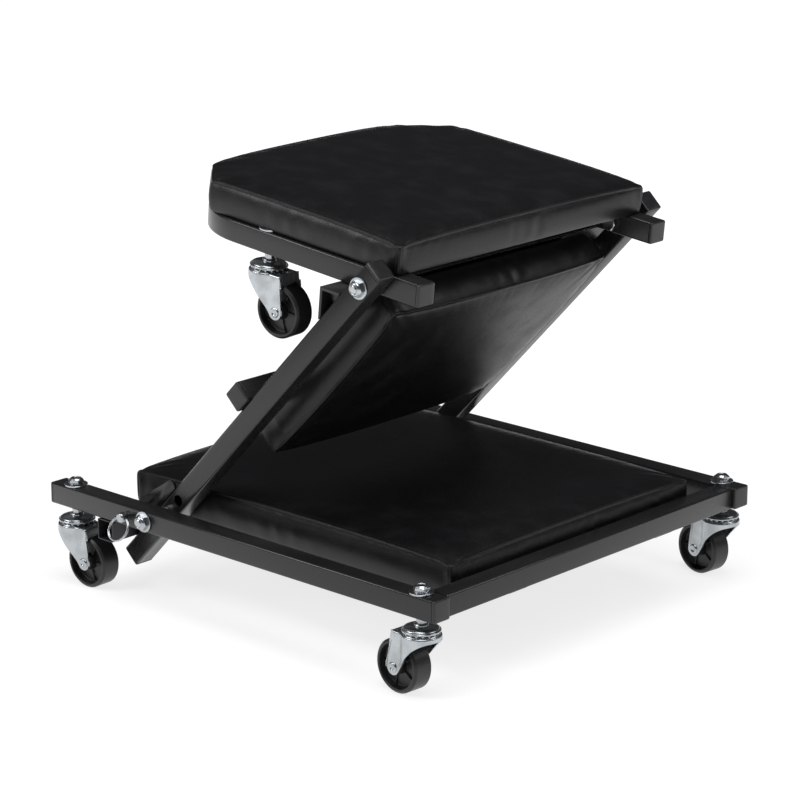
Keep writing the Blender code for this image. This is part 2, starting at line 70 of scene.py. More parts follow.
FLAT_ANGLE = 1.0
CREASE = 32.0
BALL_CREASE = 60.0
WHEEL_CREASE = 40.0
CUT_EDGE_ANGLE = 50.0
PAD_CREASE = 80.0
CUT_EDGE = 0.25 * MM
PRESSED_EDGE = 0.5 * MM
WASHER_CLEAR = 0.3 * MM
JOINTS = {joint["name"]: joint for joint in frame["joints"]}
UPWARD = np.array([0.0, 0.0, 1.0])
LEFTWARD = np.array([0.0, 1.0, 0.0])


class Slot(Enum):
    """The record's material slots."""

    PAINT = "frame_paint"
    CAP = "cap_plastic"
    ZINC = "zinc"
    WHEEL = "wheel_plastic"
    LEATHER = "leatherette"
    PLYWOOD = "plywood"


class Side(Enum):
    """The creeper's two sides, with the sign of Y on each."""

    RIGHT = -1
    LEFT = 1

    @property
    def word(self) -> str:
        """The side's name inside a piece's name."""
        return self.name.lower()


# ---------------------------------------------------------------- materials


@dataclass(frozen=True)
class Signal:
    """A node's output socket that takes part in Python arithmetic.

    Each operator adds one Math node, so an expression on signals is a chain of nodes.
    """

    recipe: Recipe
    socket: bpy.types.NodeSocket

    def _math(self, operation: str, first: Operand, second: Operand = 0.0) -> Signal:
        """One Math node on two operands."""
        return self.recipe.node("ShaderNodeMath", {"operation": operation}, {0: first, 1: second})

    def __add__(self, other: Operand) -> Signal:
        """Sum."""
        return self._math("ADD", self, other)

    __radd__ = __add__

    def __sub__(self, other: Operand) -> Signal:
        """Difference."""
        return self._math("SUBTRACT", self, other)

    def __rsub__(self, other: Operand) -> Signal:
        """Difference, with the signal taken from a number."""
        return self._math("SUBTRACT", other, self)

    def __mul__(self, other: Operand) -> Signal:
        """Product."""
        return self._math("MULTIPLY", self, other)

    __rmul__ = __mul__

    def step(self, low: float, high: float) -> Signal:
        """A smooth step from 0 at low to 1 at high; high may be the lower number."""
        settings = {"interpolation_type": "SMOOTHSTEP"}
        if low < high:
            return self.recipe.node("ShaderNodeMapRange", settings, {0: self, 1: low, 2: high})
        return 1 - self.recipe.node("ShaderNodeMapRange", settings, {0: self, 1: high, 2: low})


Operand = Signal | float
Colour = tuple[float, float, float]


class Recipe:
    """A Principled material whose varying inputs are written as expressions."""

    def __init__(self, name: str, fixed: Mapping[str, Any]) -> None:
        """Start a material.

        Args:
            name: The material's name.
            fixed: Shader inputs that are the same all over the surface.
        """
        self.material = bpy.data.materials.new(name)
        self.material.use_nodes = True
        self.tree = self.material.node_tree
        self.shader = self.tree.nodes["Principled BSDF"]
        for socket, value in fixed.items():
            self.shader.inputs[socket].default_value = value

    def node(
        self,
        kind: str,
        settings: Mapping[str, Any] | None = None,
        inputs: Mapping[int | str, Any] | None = None,
        output: int | str = 0,
    ) -> Signal:
        """Add a node of any type.

        Args:
            kind: The node's type.
            settings: The node's own properties, set before its sockets.
            inputs: Values or signals for its input sockets, by number or name.
            output: Which output is handed back.

        Returns:
            The chosen output as a signal.
        """
        made = self.tree.nodes.new(kind)
        for key, value in (settings or {}).items():
            setattr(made, key, value)
        for key, value in (inputs or {}).items():
            if isinstance(value, Signal):
                self.tree.links.new(value.socket, made.inputs[key])
            else:
                made.inputs[key].default_value = value
        return Signal(self, made.outputs[output])

    def place(self, stretch: Colour = (1.0, 1.0, 1.0)) -> Signal:
        """Object coordinates in metres, stretched per axis."""
        at = self.node("ShaderNodeTexCoord", output="Object")
        return self.node("ShaderNodeMapping", inputs={"Vector": at, "Scale": stretch})

    def noise(self, size: float, detail: float = 2.0, stretch: Colour = (1.0, 1.0, 1.0)) -> Signal:
        """Cloudy noise from 0 to 1.

        Args:
            size: The width of one cloud in metres.
            detail: Octaves of finer noise.
            stretch: How much denser the pattern is along each axis.

        Returns:
            The noise value.
        """
        return self.node(
            "ShaderNodeTexNoise",
            inputs={"Vector": self.place(stretch), "Scale": 1 / size, "Detail": detail},
        )

    def cells(self, size: float) -> Signal:
        """Distance to the nearest of many scattered points, for a pebbled grain."""
        return self.node("ShaderNodeTexVoronoi", inputs={"Vector": self.place(), "Scale": 1 / size})

    def blend(self, share: Operand, first: Any, second: Any) -> Signal:
        """Mix two colours, share of the second."""
        colours = {6: self._colour(first), 7: self._colour(second)}
        return self.node("ShaderNodeMix", {"data_type": "RGBA"}, {0: share, **colours}, output=2)

    def feed(self, **links: Operand) -> None:
        """Link signals to shader inputs; an underscore in a name stands for a space."""
        for socket, signal in links.items():
            self.tree.links.new(signal.socket, self.shader.inputs[socket.replace("_", " ")])

    def relief(self, height: Signal, depth: float) -> None:
        """Bump the surface by a height from 0 to 1, depth metres high."""
        inputs = {"Height": height, "Distance": depth, "Strength": 1.0}
        self.feed(Normal=self.node("ShaderNodeBump", inputs=inputs))

    @staticmethod
    def _colour(value: Any) -> Any:
        """A colour with its alpha, or the signal it already is."""
        return value if isinstance(value, Signal) else (*value, 1.0)


class Finish:
    """A surface finish; its material is made once and shared."""

    slot: Slot

    def mix(self) -> Recipe:
        """Write the finish's recipe."""
        raise NotImplementedError

    def material(self) -> bpy.types.Material:
        """The finish's material, made at its first use."""
        name = f"{self.slot.value}_{type(self).__name__.lower()}"
        return bpy.data.materials.get(name) or self._made(name)

    def _made(self, name: str) -> bpy.types.Material:
        """Make the material under its shared name."""
        material = self.mix().material
        material.name = name
        return material


@dataclass(frozen=True)
class PowderCoat(Finish):
    """Semi-gloss black powder coat on steel: a faint orange peel and a little dust on it."""

    slot: Slot = Slot.PAINT
    colour: Colour = (0.0125, 0.0125, 0.013)
    dusty: Colour = (0.02, 0.02, 0.0205)
    gloss: float = 0.23
    peel: float = 1.6 * MM
    relief: float = 0.035 * MM

    def mix(self) -> Recipe:
        """Peel from small noise, and roughness from wide soft patches."""
        recipe = Recipe("coat", {"Specular IOR Level": 0.5})
        patches = recipe.noise(60 * MM, 3.0)
        specks = recipe.noise(1.1 * MM, 2.0).step(0.66, 0.8)
        dust = patches.step(0.35, 0.8) * 0.6 + specks * 0.4
        recipe.feed(
            Base_Color=recipe.blend(dust, self.colour, self.dusty),
            Roughness=self.gloss + patches * 0.07 + specks * 0.06,
        )
        recipe.relief(recipe.noise(self.peel, 2.0), self.relief)
        return recipe


@dataclass(frozen=True)
class MouldedPlastic(Finish):
    """Black moulded polypropylene with a fine sparked texture."""

    slot: Slot = Slot.CAP
    colour: Colour = (0.011, 0.011, 0.012)
    worn: Colour = (0.019, 0.019, 0.02)
    roughness: float = 0.36
    grain: float = 0.7 * MM
    relief: float = 0.05 * MM

    def mix(self) -> Recipe:
        """Grain as fine bump, and soft pale rubbing in patches."""
        recipe = Recipe("plastic", {"Specular IOR Level": 0.5})
        rubbed = recipe.noise(9 * MM, 4.0).step(0.45, 0.75)
        recipe.feed(
            Base_Color=recipe.blend(rubbed, self.colour, self.worn),
            Roughness=self.roughness + rubbed * 0.12,
        )
        recipe.relief(recipe.noise(self.grain, 3.0), self.relief)
        return recipe


@dataclass(frozen=True)
class WheelPlastic(Finish):
    """Hard black wheel plastic, a little scuffed."""

    slot: Slot = Slot.WHEEL
    colour: Colour = (0.0105, 0.0105, 0.011)
    scuffed: Colour = (0.035, 0.034, 0.033)
    roughness: float = 0.34
    relief: float = 0.04 * MM

    def mix(self) -> Recipe:
        """Short scuffs where fine stretched noise passes a threshold."""
        recipe = Recipe("wheel", {"Specular IOR Level": 0.5})
        scuffs = recipe.noise(3.5 * MM, 5.0, (1.0, 1.0, 3.0)).step(0.6, 0.74)
        cloud = recipe.noise(14 * MM, 2.0)
        recipe.feed(
            Base_Color=recipe.blend(scuffs * 0.5, self.colour, self.scuffed),
            Roughness=self.roughness + cloud * 0.12 + scuffs * 0.15,
        )
        recipe.relief(recipe.noise(0.8 * MM, 3.0) * 0.7 + scuffs * 0.3, self.relief)
        return recipe


@dataclass(frozen=True)
class ZincPlate(Finish):
    """Bright zinc plate on pressed steel: bluish, with soft blotches and rolling lines."""

    slot: Slot = Slot.ZINC
    bright: Colour = (0.5, 0.525, 0.545)
    dull: Colour = (0.38, 0.41, 0.435)
    warm: Colour = (0.47, 0.455, 0.41)
    roughness: float = 0.2
    relief: float = 0.03 * MM

    def mix(self) -> Recipe:
        """Blotches change colour and roughness together; rolling lines are drawn-out noise."""
        recipe = Recipe("zinc", {"Metallic": 1.0})
        blotch = recipe.noise(11 * MM, 3.0)
        lines = recipe.noise(1.2 * MM, 3.0, (1.0, 1.0, 0.12))
        tint = recipe.noise(11 * MM, 1.0).step(0.52, 0.72)
        plated = recipe.blend(blotch.step(0.35, 0.7), self.bright, self.dull)
        recipe.feed(
            Base_Color=recipe.blend(tint * 0.35, plated, self.warm),
            Roughness=self.roughness + blotch * 0.1 + lines * 0.06,
        )
        recipe.relief(lines * 0.6 + blotch * 0.4, self.relief)
        return recipe


@dataclass(frozen=True)
class FauxLeather(Finish):
    """Black faux leather: pebbled grain, faint creases, patches painted lighter as part wear and
    part sheen, and a sewn seam whose groove is painted darker as shade.

    The cover's mesh carries the attribute seam_distance, in metres.
    """

    slot: Slot = Slot.LEATHER
    colour: Colour = (0.0045, 0.0045, 0.0052)
    sheen_colour: Colour = (0.009, 0.009, 0.0102)
    pebble: float = 1.3 * MM
    seam_width: float = 0.9 * MM
    # Painted shade: the colour laid into the seam's groove.
    seam_colour: Colour = (0.002, 0.002, 0.002)
    roughness: float = 0.3
    relief: float = 0.16 * MM

    def mix(self) -> Recipe:
        """Grain and creases add up to the relief; the seam is a groove near zero distance, painted
        darker there as shade.
        """
        recipe = Recipe("leather", {"Specular IOR Level": 0.36})
        rubbed = recipe.noise(28 * MM, 5.0).step(0.4, 0.75)
        grain = recipe.cells(self.pebble)
        creases = recipe.noise(7 * MM, 6.0, (1.0, 1.6, 1.0))
        distance = recipe.node(
            "ShaderNodeAttribute", {"attribute_name": SEAM_DISTANCE}, output="Fac"
        )
        seam = distance.step(self.seam_width, self.seam_width * 0.3)
        # The rubbed patches are part wear and part painted sheen: there the tone is painted
        # lighter, towards sheen_colour.
        tone = recipe.blend(rubbed * 0.7, self.colour, self.sheen_colour)
        # The seam's groove is painted darker: painted shade, on top of its real bump.
        recipe.feed(
            Base_Color=recipe.blend(seam * 0.8, tone, self.seam_colour),
            Roughness=self.roughness + grain * 0.12 + rubbed * 0.08 + seam * 0.2,
        )
        recipe.relief(grain * 0.35 + creases * 0.65 - seam * 1.5, self.relief)
        return recipe


@dataclass(frozen=True)
class Plywood(Finish):
    """Dark stained plywood: long soft grain with darker streaks."""

    slot: Slot = Slot.PLYWOOD
    pale: Colour = (0.05, 0.042, 0.034)
    streak: Colour = (0.022, 0.018, 0.015)
    roughness: float = 0.62
    relief: float = 0.15 * MM

    def mix(self) -> Recipe:
        """Grain is noise drawn out along X."""
        recipe = Recipe("plywood", {})
        grain = recipe.noise(4 * MM, 5.0, (0.06, 1.0, 1.0))
        pores = recipe.noise(1.2 * MM, 2.0, (0.1, 1.0, 1.0))
        recipe.feed(
            Base_Color=recipe.blend(grain.step(0.4, 0.7), self.pale, self.streak),
            Roughness=self.roughness + pores * 0.2,
        )
        recipe.relief(grain * 0.4 + pores * 0.6, self.relief)
        return recipe


@dataclass(frozen=True)
class Finishes:
    """Every finish on the creeper."""

    paint: Finish = PowderCoat()
    caps: Finish = MouldedPlastic()
    zinc: Finish = ZincPlate()
    wheels: Finish = WheelPlastic()
    leather: Finish = FauxLeather()
    plywood: Finish = Plywood()


# ---------------------------------------------------------------- surfaces


@dataclass
class Shell:
    """A surface as an array of points and a list of faces.  Shells add up to one mesh."""

    points: Array
    faces: list[tuple[int, ...]]

    def __add__(self, other: Shell) -> Shell:
        """Both shells side by side in one mesh."""
        shift = len(self.points)
        moved = [tuple(corner + shift for corner in face) for face in other.faces]
        return Shell(np.vstack([self.points, other.points]), self.faces + moved)

    def placed(self, matrix: Array) -> Shell:
        """The shell moved by a 4 by 4 matrix."""
        return Shell(self.points @ matrix[:3, :3].T + matrix[:3, 3], self.faces)


def axes(origin: Array, x: Array, z: Array) -> Array:
    """A 4 by 4 matrix with its x and z axes given and y square to both."""
    matrix = np.eye(4)
    matrix[:3, :3] = np.stack([x, np.cross(z, x), z], axis=1)
    matrix[:3, 3] = origin
    return matrix


def unit(vector: Array) -> Array:
    """A vector of length one."""
    return vector / np.linalg.norm(vector)


def smooth(share: Array) -> Array:
    """The smooth step of a share held between 0 and 1: three squares less two cubes."""
    held = np.clip(share, 0.0, 1.0)
    return held * held * (3 - 2 * held)


def lattice(
    points: Array, loop_rows: bool = False, loop_cols: bool = False, caps: bool = False
) -> Shell:
    """Quads between neighbouring points of a grid.

    Args:
        points: Rows by columns by three.
        loop_rows: The last row joins the first.
        loop_cols: The last column joins the first.
        caps: The first and last rows are closed by one face each.

    Returns:
        The shell of the grid.
    """
    rows, cols = points.shape[:2]
    index = np.arange(rows * cols).reshape(rows, cols)
    ends = [tuple(index[0].tolist()), tuple(index[-1].tolist()[::-1])] if caps else []
    index = np.vstack([index, index[:1]]) if loop_rows else index
    index = np.hstack([index, index[:, :1]]) if loop_cols else index
    quads = np.stack([index[:-1, :-1], index[1:, :-1], index[1:, 1:], index[:-1, 1:]], axis=-1)
    faces = [tuple(quad) for quad in quads.reshape(-1, 4).tolist()]
    return Shell(points.reshape(-1, 3), faces + ends)


def filleted(
    corners: Sequence[Sequence[float]], radius: float, loop: bool = False, steps: int = 3
) -> Array:
    """Round the corners of an outline: each becomes a parabola that meets both its sides.

    Args:
        corners: Points of the outline.
        radius: How far from a corner the rounding starts, at most half a side.
        loop: The outline is closed.
        steps: Pieces in each rounded corner.

    Returns:
        The rounded outline.
    """
    points = np.asarray(corners, float)
    before, after = np.roll(points, 1, axis=0), np.roll(points, -1, axis=0)

    def towards(other: Array) -> Array:
        """Where the rounding starts on the way to the next point."""
        side = other - points
        length = np.linalg.norm(side, axis=1, keepdims=True)
        return points + side / length * np.minimum(radius, length / 2)

    share = np.linspace(0, 1, steps + 1)[None, :, None]
    curve = (
        (1 - share) ** 2 * towards(before)[:, None]
        + 2 * share * (1 - share) * points[:, None]
        + share**2 * towards(after)[:, None]
    )
    if loop:
        return curve.reshape(-1, points.shape[1])
    return np.vstack([points[:1], curve[1:-1].reshape(-1, points.shape[1]), points[-1:]])


def turned(profile: Array, segments: int = 40, across: float = 0.0, loop: bool = False) -> Shell:
    """A profile of radius and height turned round z: x = r cos a, y = r sin a, z = h.

    Args:
        profile: Rows of radius and height.
        segments: Steps round the axis.
        across: If given, the radius is held inside a hexagon of this width across its flats.
        loop: The profile closes on itself round a bore.

    Returns:
        The turned shell.
    """
    angle = np.linspace(0, math.tau, segments, endpoint=False)
    radius, angle = np.meshgrid(np.asarray(profile)[:, 0], angle, indexing="ij")
    if across:
        sixth = math.pi / 3
        radius = np.minimum(radius, across / 2 / np.cos((angle + sixth / 2) % sixth - sixth / 2))
    height = np.broadcast_to(np.asarray(profile)[:, 1:2], radius.shape)
    points = np.stack([radius * np.cos(angle), radius * np.sin(angle), height], axis=-1)
    return lattice(points, loop_rows=loop, loop_cols=True)


def rounded_square(side: float, corner: float, steps: int = 4) -> Array:
    """The outline of a square with round corners: a quarter turn about each corner's centre."""
    quarter = np.linspace(0, math.pi / 2, steps + 1)
    angle = np.add.outer(np.arange(4) * math.pi / 2, quarter)
    signs = np.array([(1, 1), (-1, 1), (-1, -1), (1, -1)]) * (side / 2 - corner)
    circle = corner * np.stack([np.cos(angle), np.sin(angle)], axis=-1)
    return (signs[:, None] + circle).reshape(-1, 2)


def carried(path: Array, section: Array, normal: Array) -> Array:
    """A flat section carried along a path: point = path + a (normal x heading) + b normal.

    Args:
        path: Points of the path.
        section: Rows of a and b.
        normal: A direction square to the path, or nearly, all the way.

    Returns:
        A grid of points, path by section.
    """
    heading = np.gradient(path, axis=0)
    side = np.cross(normal, heading)
    side /= np.linalg.norm(side, axis=1, keepdims=True)
    return path[:, None] + section[None, :, :1] * side[:, None] + section[None, :, 1:] * normal


def hollow(path: Array, outer: Array, inner: Array, normal: Array) -> Shell:
    """A tube with a wall: out along the outer section and back along the inner one."""
    out, back = carried(path, outer, normal), carried(path, inner, normal)[::-1]
    return lattice(np.vstack([out, back]), loop_rows=True, loop_cols=True)


def meshed(name: str, points: Array, faces: list[Any]) -> bpy.types.Mesh:
    """A mesh of points and faces."""
    mesh = bpy.data.meshes.new(name)
    mesh.from_pydata(points.tolist(), [], faces)
    return mesh


def positions(mesh: bpy.types.Mesh) -> Array:
    """A mesh's points as an array."""
    points = np.empty(len(mesh.vertices) * 3, np.float32)
    mesh.vertices.foreach_get("co", points)
    return points.reshape(-1, 3).astype(float)


def linked(name: str, data: bpy.types.ID) -> bpy.types.Object:
    """A new object in the scene."""
    thing = bpy.data.objects.new(name, data)
    bpy.context.scene.collection.objects.link(thing)
    return thing


def worked(mesh: bpy.types.Mesh, *steps: Callable[[bmesh.types.BMesh], Any]) -> None:
    """Run editing steps on a mesh, one after the other."""
    work = bmesh.new()
    work.from_mesh(mesh)
    for step in steps:
        step(work)
    work.to_mesh(mesh)
    work.free()


def merged(work: bmesh.types.BMesh) -> None:
    """Join points that lie on each other."""
    bmesh.ops.remove_doubles(work, verts=work.verts, dist=WELD)


def facing_out(work: bmesh.types.BMesh) -> None:
    """Turn every face of a closed mesh outwards."""
    bmesh.ops.recalc_face_normals(work, faces=work.faces)


def broken_edges(piece: bpy.types.Object, width: float, angle: float) -> None:
    """Round the edges that are sharper than an angle in degrees."""
    bevel = piece.modifiers.new("edge", "BEVEL")
    bevel.width = width
    bevel.segments = 2
    bevel.limit_method = "ANGLE"
    bevel.angle_limit = math.radians(angle)


def fit(
    name: str,
    shell: Shell,
    finish: Finish,
    body: str,
    nodes: Sequence[str] = (),
    crease: float = CREASE,
    edge: float = 0.0,
) -> bpy.types.Object:
    """Make a shell a finished piece on its body.

    Args:
        name: The piece's name.
        shell: Its surface, in the row frame.
        finish: Its finish.
        body: The frame body it rides on.
        nodes: Frame nodes that it stands for.
        crease: Edges sharper than this many degrees stay sharp.
        edge: Width of a bevel on the sharp edges, if any.

    Returns:
        The piece.
    """
    mesh = meshed(name, shell.points, shell.faces)
    tidy(mesh)
    piece = linked(name, mesh)
    if edge:
        broken_edges(piece, edge, crease)
        settle(piece)
    dress(piece, finish, body, nodes, crease)
    return piece


def tidy(mesh: bpy.types.Mesh) -> None:
    """Close a mesh's seams and poles and turn its faces outwards."""

    def without_slivers(work: bmesh.types.BMesh) -> None:
        """Drop faces and edges of no size."""
        bmesh.ops.dissolve_degenerate(work, dist=WELD, edges=work.edges)

    worked(mesh, merged, without_slivers, facing_out)


def settle(piece: bpy.types.Object) -> None:
    """Apply every modifier to the piece's mesh."""
    graph = bpy.context.evaluated_depsgraph_get()
    final = bpy.data.meshes.new_from_object(piece.evaluated_get(graph))
    piece.modifiers.clear()
    piece.data = final


def dress(
    piece: bpy.types.Object, finish: Finish, body: str, nodes: Sequence[str], crease: float = CREASE
) -> None:
    """Shade a piece, give it its finish and join it to the frame.

    Args:
        piece: The piece, with its final mesh.
        finish: Its finish.
        body: The frame body it rides on.
        nodes: Frame nodes that it stands for.
        crease: Edges sharper than this many degrees stay sharp.
    """
    piece.data.shade_smooth()
    piece.data.set_sharp_from_angle(angle=math.radians(crease))
    piece.data.materials.clear()
    piece.data.materials.append(finish.material())
    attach(piece, body)
    if nodes:
        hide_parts(*nodes)
    LOG.info("%s on %s: %d faces", piece.name, body, len(piece.data.polygons))


def copied(node: str) -> Shell:
    """A frame node's own surface as a shell."""
    mesh = frame["nodes"][node].data
    return Shell(positions(mesh), [tuple(face.vertices) for face in mesh.polygons])


def softened(node: str, finish: Finish, body: str, edge: float) -> bpy.types.Object:
    """A pressed or cut part: the node's shape with flat faces joined and its edges rounded.

    Args:
        node: The frame node.
        finish: Its finish.
        body: The frame body it rides on.
        edge: Width of the rounded edges.

    Returns:
        The piece.
    """

    def joined_flats(work: bmesh.types.BMesh) -> None:
        """Join neighbouring faces that lie in one plane."""
        bmesh.ops.dissolve_limit(
            work, angle_limit=math.radians(FLAT_ANGLE), verts=work.verts, edges=work.edges
        )

    source = copied(node)
    mesh = meshed(node, source.points, source.faces)
    worked(mesh, merged, joined_flats)
    shell = Shell(positions(mesh), [tuple(face.vertices) for face in mesh.polygons])
    bpy.data.meshes.remove(mesh)
    return fit(f"{node}_detail", shell, finish, body, [node], edge=edge)


# ---------------------------------------------------------------- sections of the frame


@dataclass(frozen=True)
class Section:
    """A folding section: x along its rails, y across to the left, z square to both."""

    body: str
    origin: Array
    along: Array
    up: Array

    @property
    def matrix(self) -> Array:
        """Section axes to the row frame."""
        return axes(self.origin, self.along, self.up)

    def extent(self, node: str) -> tuple[Array, Array]:
        """The lowest and highest corners of a frame node on this section's axes."""
        local = (copied(node).points - self.origin) @ self.matrix[:3, :3]
        return local.min(axis=0), local.max(axis=0)

    @classmethod
    def all(cls) -> tuple[Section, Section, Section]:
        """The base, middle and seat sections, from the places of their hinges."""
        lower = np.array(JOINTS["middle_fold"]["pos_m"])
        upper = np.array(JOINTS["seat_fold"]["pos_m"])
        forward = np.cross(LEFTWARD, UPWARD)
        lean = unit(upper - lower)
        seat_up = unit(np.array(JOINTS["seat_right_swivel"]["axis"]))
        return (
            cls("base", lower, forward, UPWARD),
            cls("middle", lower, lean, np.cross(lean, LEFTWARD)),
            cls("seat", upper, np.cross(LEFTWARD, seat_up), seat_up),
        )


@dataclass(frozen=True)
class SquareTube:
    """A length of rolled square tube, cut square at both ends."""

    section: Section
    node: str
    wall: float = 1.2 * MM
    corner: float = 1.9 * MM
    bend: float = 64 * MM

    def outlines(self, side: float) -> tuple[Array, Array]:
        """Outer and inner outlines of the tube."""
        inner = rounded_square(side - 2 * self.wall, self.corner - self.wall)
        return rounded_square(side, self.corner), inner

    def straight(self) -> Shell:
        """A tube between the two ends of its node, along the node's longest side."""
        low, high = self.section.extent(self.node)
        long = int(np.argmax(high - low))
        side = float(np.min(high - low))
        path = np.tile((low + high) / 2, (2, 1))
        path[:, long] = low[long], high[long]
        return hollow(path, *self.outlines(side), UPWARD).placed(self.section.matrix)

    def horseshoe(self) -> Shell:
        """A tube bent twice: two straight legs, two quarter turns and a straight head."""
        low, high = self.section.extent(self.node)
        side = float(high[2] - low[2])
        reach = high[1] - side / 2
        middle = (low[1] + high[1]) / 2
        head = low[0] + side / 2
        turn = np.linspace(0, math.pi / 2, 15)
        centre = np.array([head + self.bend, reach - self.bend])
        arc = centre + self.bend * np.stack([-np.sin(turn), np.cos(turn)], axis=-1)
        half = np.vstack([[high[0], reach], arc])
        mirrored = half[::-1] * (1, -1) + (0, 2 * middle)
        flat = np.vstack([half, mirrored])
        path = np.column_stack([flat, np.full(len(flat), (low[2] + high[2]) / 2)])
        return hollow(path, *self.outlines(side), UPWARD).placed(self.section.matrix)

    def build(self, finish: Finish, bent: bool = False) -> bpy.types.Object:
        """Make the tube.

        Args:
            finish: Its finish.
            bent: Bend it to a horseshoe.

        Returns:
            The piece.
        """
        shell = self.horseshoe() if bent else self.straight()
        return fit(
            f"{self.node}_detail", shell, finish, self.section.body, [self.node], edge=CUT_EDGE
        )


@dataclass(frozen=True)
class EndCap:
    """A moulded plug: a pillowed square head on a ribbed spigot."""

    section: Section
    node: str
    corner: float = 1.9 * MM
    least_corner: float = 0.6 * MM
    head: float = 3.2 * MM
    seat: float = 3.3 * MM

    def levels(self, side: float, head: float) -> Array:
        """Rows of inset and height, from the spigot's end out to the middle of the face."""
        spigot = 2.1 * MM
        wall = [
            (spigot + 0.8 * MM, -9 * MM), (spigot, -8 * MM), (spigot, 0.1 * MM),
            (0.35 * MM, 0.12 * MM), (0.0, 0.5 * MM), (0.0, head - 1.3 * MM),
            (0.25 * MM, head - 0.5 * MM), (0.9 * MM, head - 0.1 * MM), (2.2 * MM, head),
            (side / 2 - 3 * MM, head + 0.15 * MM),
        ]
        return np.array(wall)

    def build(self, finish: Finish) -> bpy.types.Object:
        """Loft the plug through round-cornered squares, one for each level."""
        low, high = self.section.extent(self.node)
        size = high - low
        long = int(np.argmin(size[:2]))
        side = float(size[2])
        middle = (low + high) / 2
        outward = np.zeros(3)
        outward[long] = self.facing(long)
        seat = middle.copy()
        seat[long] = (high if outward[long] > 0 else low)[long] - outward[long] * self.seat
        rings = []
        for inset, height in self.levels(side, self.head):
            corner = max(self.corner - inset, self.least_corner)
            outline = rounded_square(side - 2 * inset, corner)
            rings.append(np.column_stack([outline, np.full(len(outline), height)]))
        upright = axes(seat, UPWARD, outward)
        shell = lattice(np.array(rings), loop_cols=True, caps=True).placed(upright)
        shell = shell.placed(self.section.matrix)
        return fit(f"{self.node}_detail", shell, finish, self.section.body, [self.node])

    def facing(self, long: int) -> float:
        """Which way the head looks: away from its section's middle, or down at a rail's foot."""
        if long == 1:
            return -1.0 if "right" in self.node else 1.0
        return -1.0 if "rear" in self.node or "foot" in self.node else 1.0


# ---------------------------------------------------------------- fasteners


@dataclass(frozen=True)
class Fasteners:
    """Eight-millimetre bolts, nuts and washers, each along z from its seat at height 0."""

    thread: float = 3.95 * MM
    pitch: float = 1.25 * MM
    thread_depth: float = 0.55 * MM
    across: float = 13 * MM
    corners: float = 1.155
    flange: float = 9.6 * MM
    washer: float = 10.8 * MM

    def lock_nut(self, base: float, height: float) -> Shell:
        """A hexagon nut with a round nylon collar: the smaller of a cone and a hexagon."""
        corner, collar = self.across / 2 * self.corners, self.across / 2 - 0.5 * MM
        bore, shoulder = self.thread - 0.2 * MM, base + height * 0.68
        profile = filleted(
            [
                (bore, base), (corner - 0.4 * MM, base), (corner, base + 0.5 * MM),
                (corner, shoulder - 0.6 * MM), (collar + 0.1 * MM, shoulder),
                (collar, base + height - 1.2 * MM), (collar - 1.4 * MM, base + height),
                (bore, base + height - 0.5 * MM),
            ],
            0.45 * MM,
            loop=True,
        )
        return turned(profile, 48, self.across, loop=True)

    def ring(
        self, bore: float, radius: float, low: float, high: float, soft: float = 0.35 * MM
    ) -> Shell:
        """A flat ring with soft edges."""
        corners = [(bore, low), (radius, low), (radius, high), (bore, high)]
        return turned(filleted(corners, soft, loop=True), 48, loop=True)

    def spring_washer(self, low: float, thick: float = 2.0 * MM, radius: float = 6.1 * MM) -> Shell:
        """A split ring of square wire that climbs a third of its thickness in one turn."""
        angle = np.linspace(0.09, math.tau - 0.09, 40)
        climb = low + thick * 0.45 + angle / math.tau * thick * 0.3
        path = np.stack([radius * np.cos(angle), radius * np.sin(angle), climb], axis=-1)
        wire = rounded_square(thick, 0.4 * MM, 2)
        return lattice(carried(path, wire, UPWARD), loop_cols=True, caps=True)

    def threaded_end(self, low: float, high: float) -> Shell:
        """A screw thread: the radius falls by a triangle wave of height less turn."""
        height = np.append(np.arange(low, high - 0.6 * MM, self.pitch / 6), high - 0.6 * MM)
        angle = np.linspace(0, math.tau, 30, endpoint=False)
        rise, turn = np.meshgrid(height / self.pitch, angle / math.tau, indexing="ij")
        radius = self.thread - self.thread_depth * np.abs(2 * ((rise - turn) % 1.0) - 1)
        level = np.broadcast_to(height[:, None], radius.shape)
        rows = np.stack([radius * np.cos(angle), radius * np.sin(angle), level], -1)
        tip = rows[-1:] * (0.78, 0.78, 0) + (0, 0, high)
        return lattice(np.concatenate([rows, tip]), loop_cols=True, caps=True)

    def bolt_head(self, low: float, high: float) -> Shell:
        """A hexagon head with its corners turned off, standing from low to high."""
        corner = self.across / 2 * self.corners
        profile = [
            (0, low), (corner, low), (corner, high - 0.8 * MM),
            (corner - 1.1 * MM, high), (0, high),
        ]
        return turned(filleted(profile, 0.3 * MM), 48, self.across)


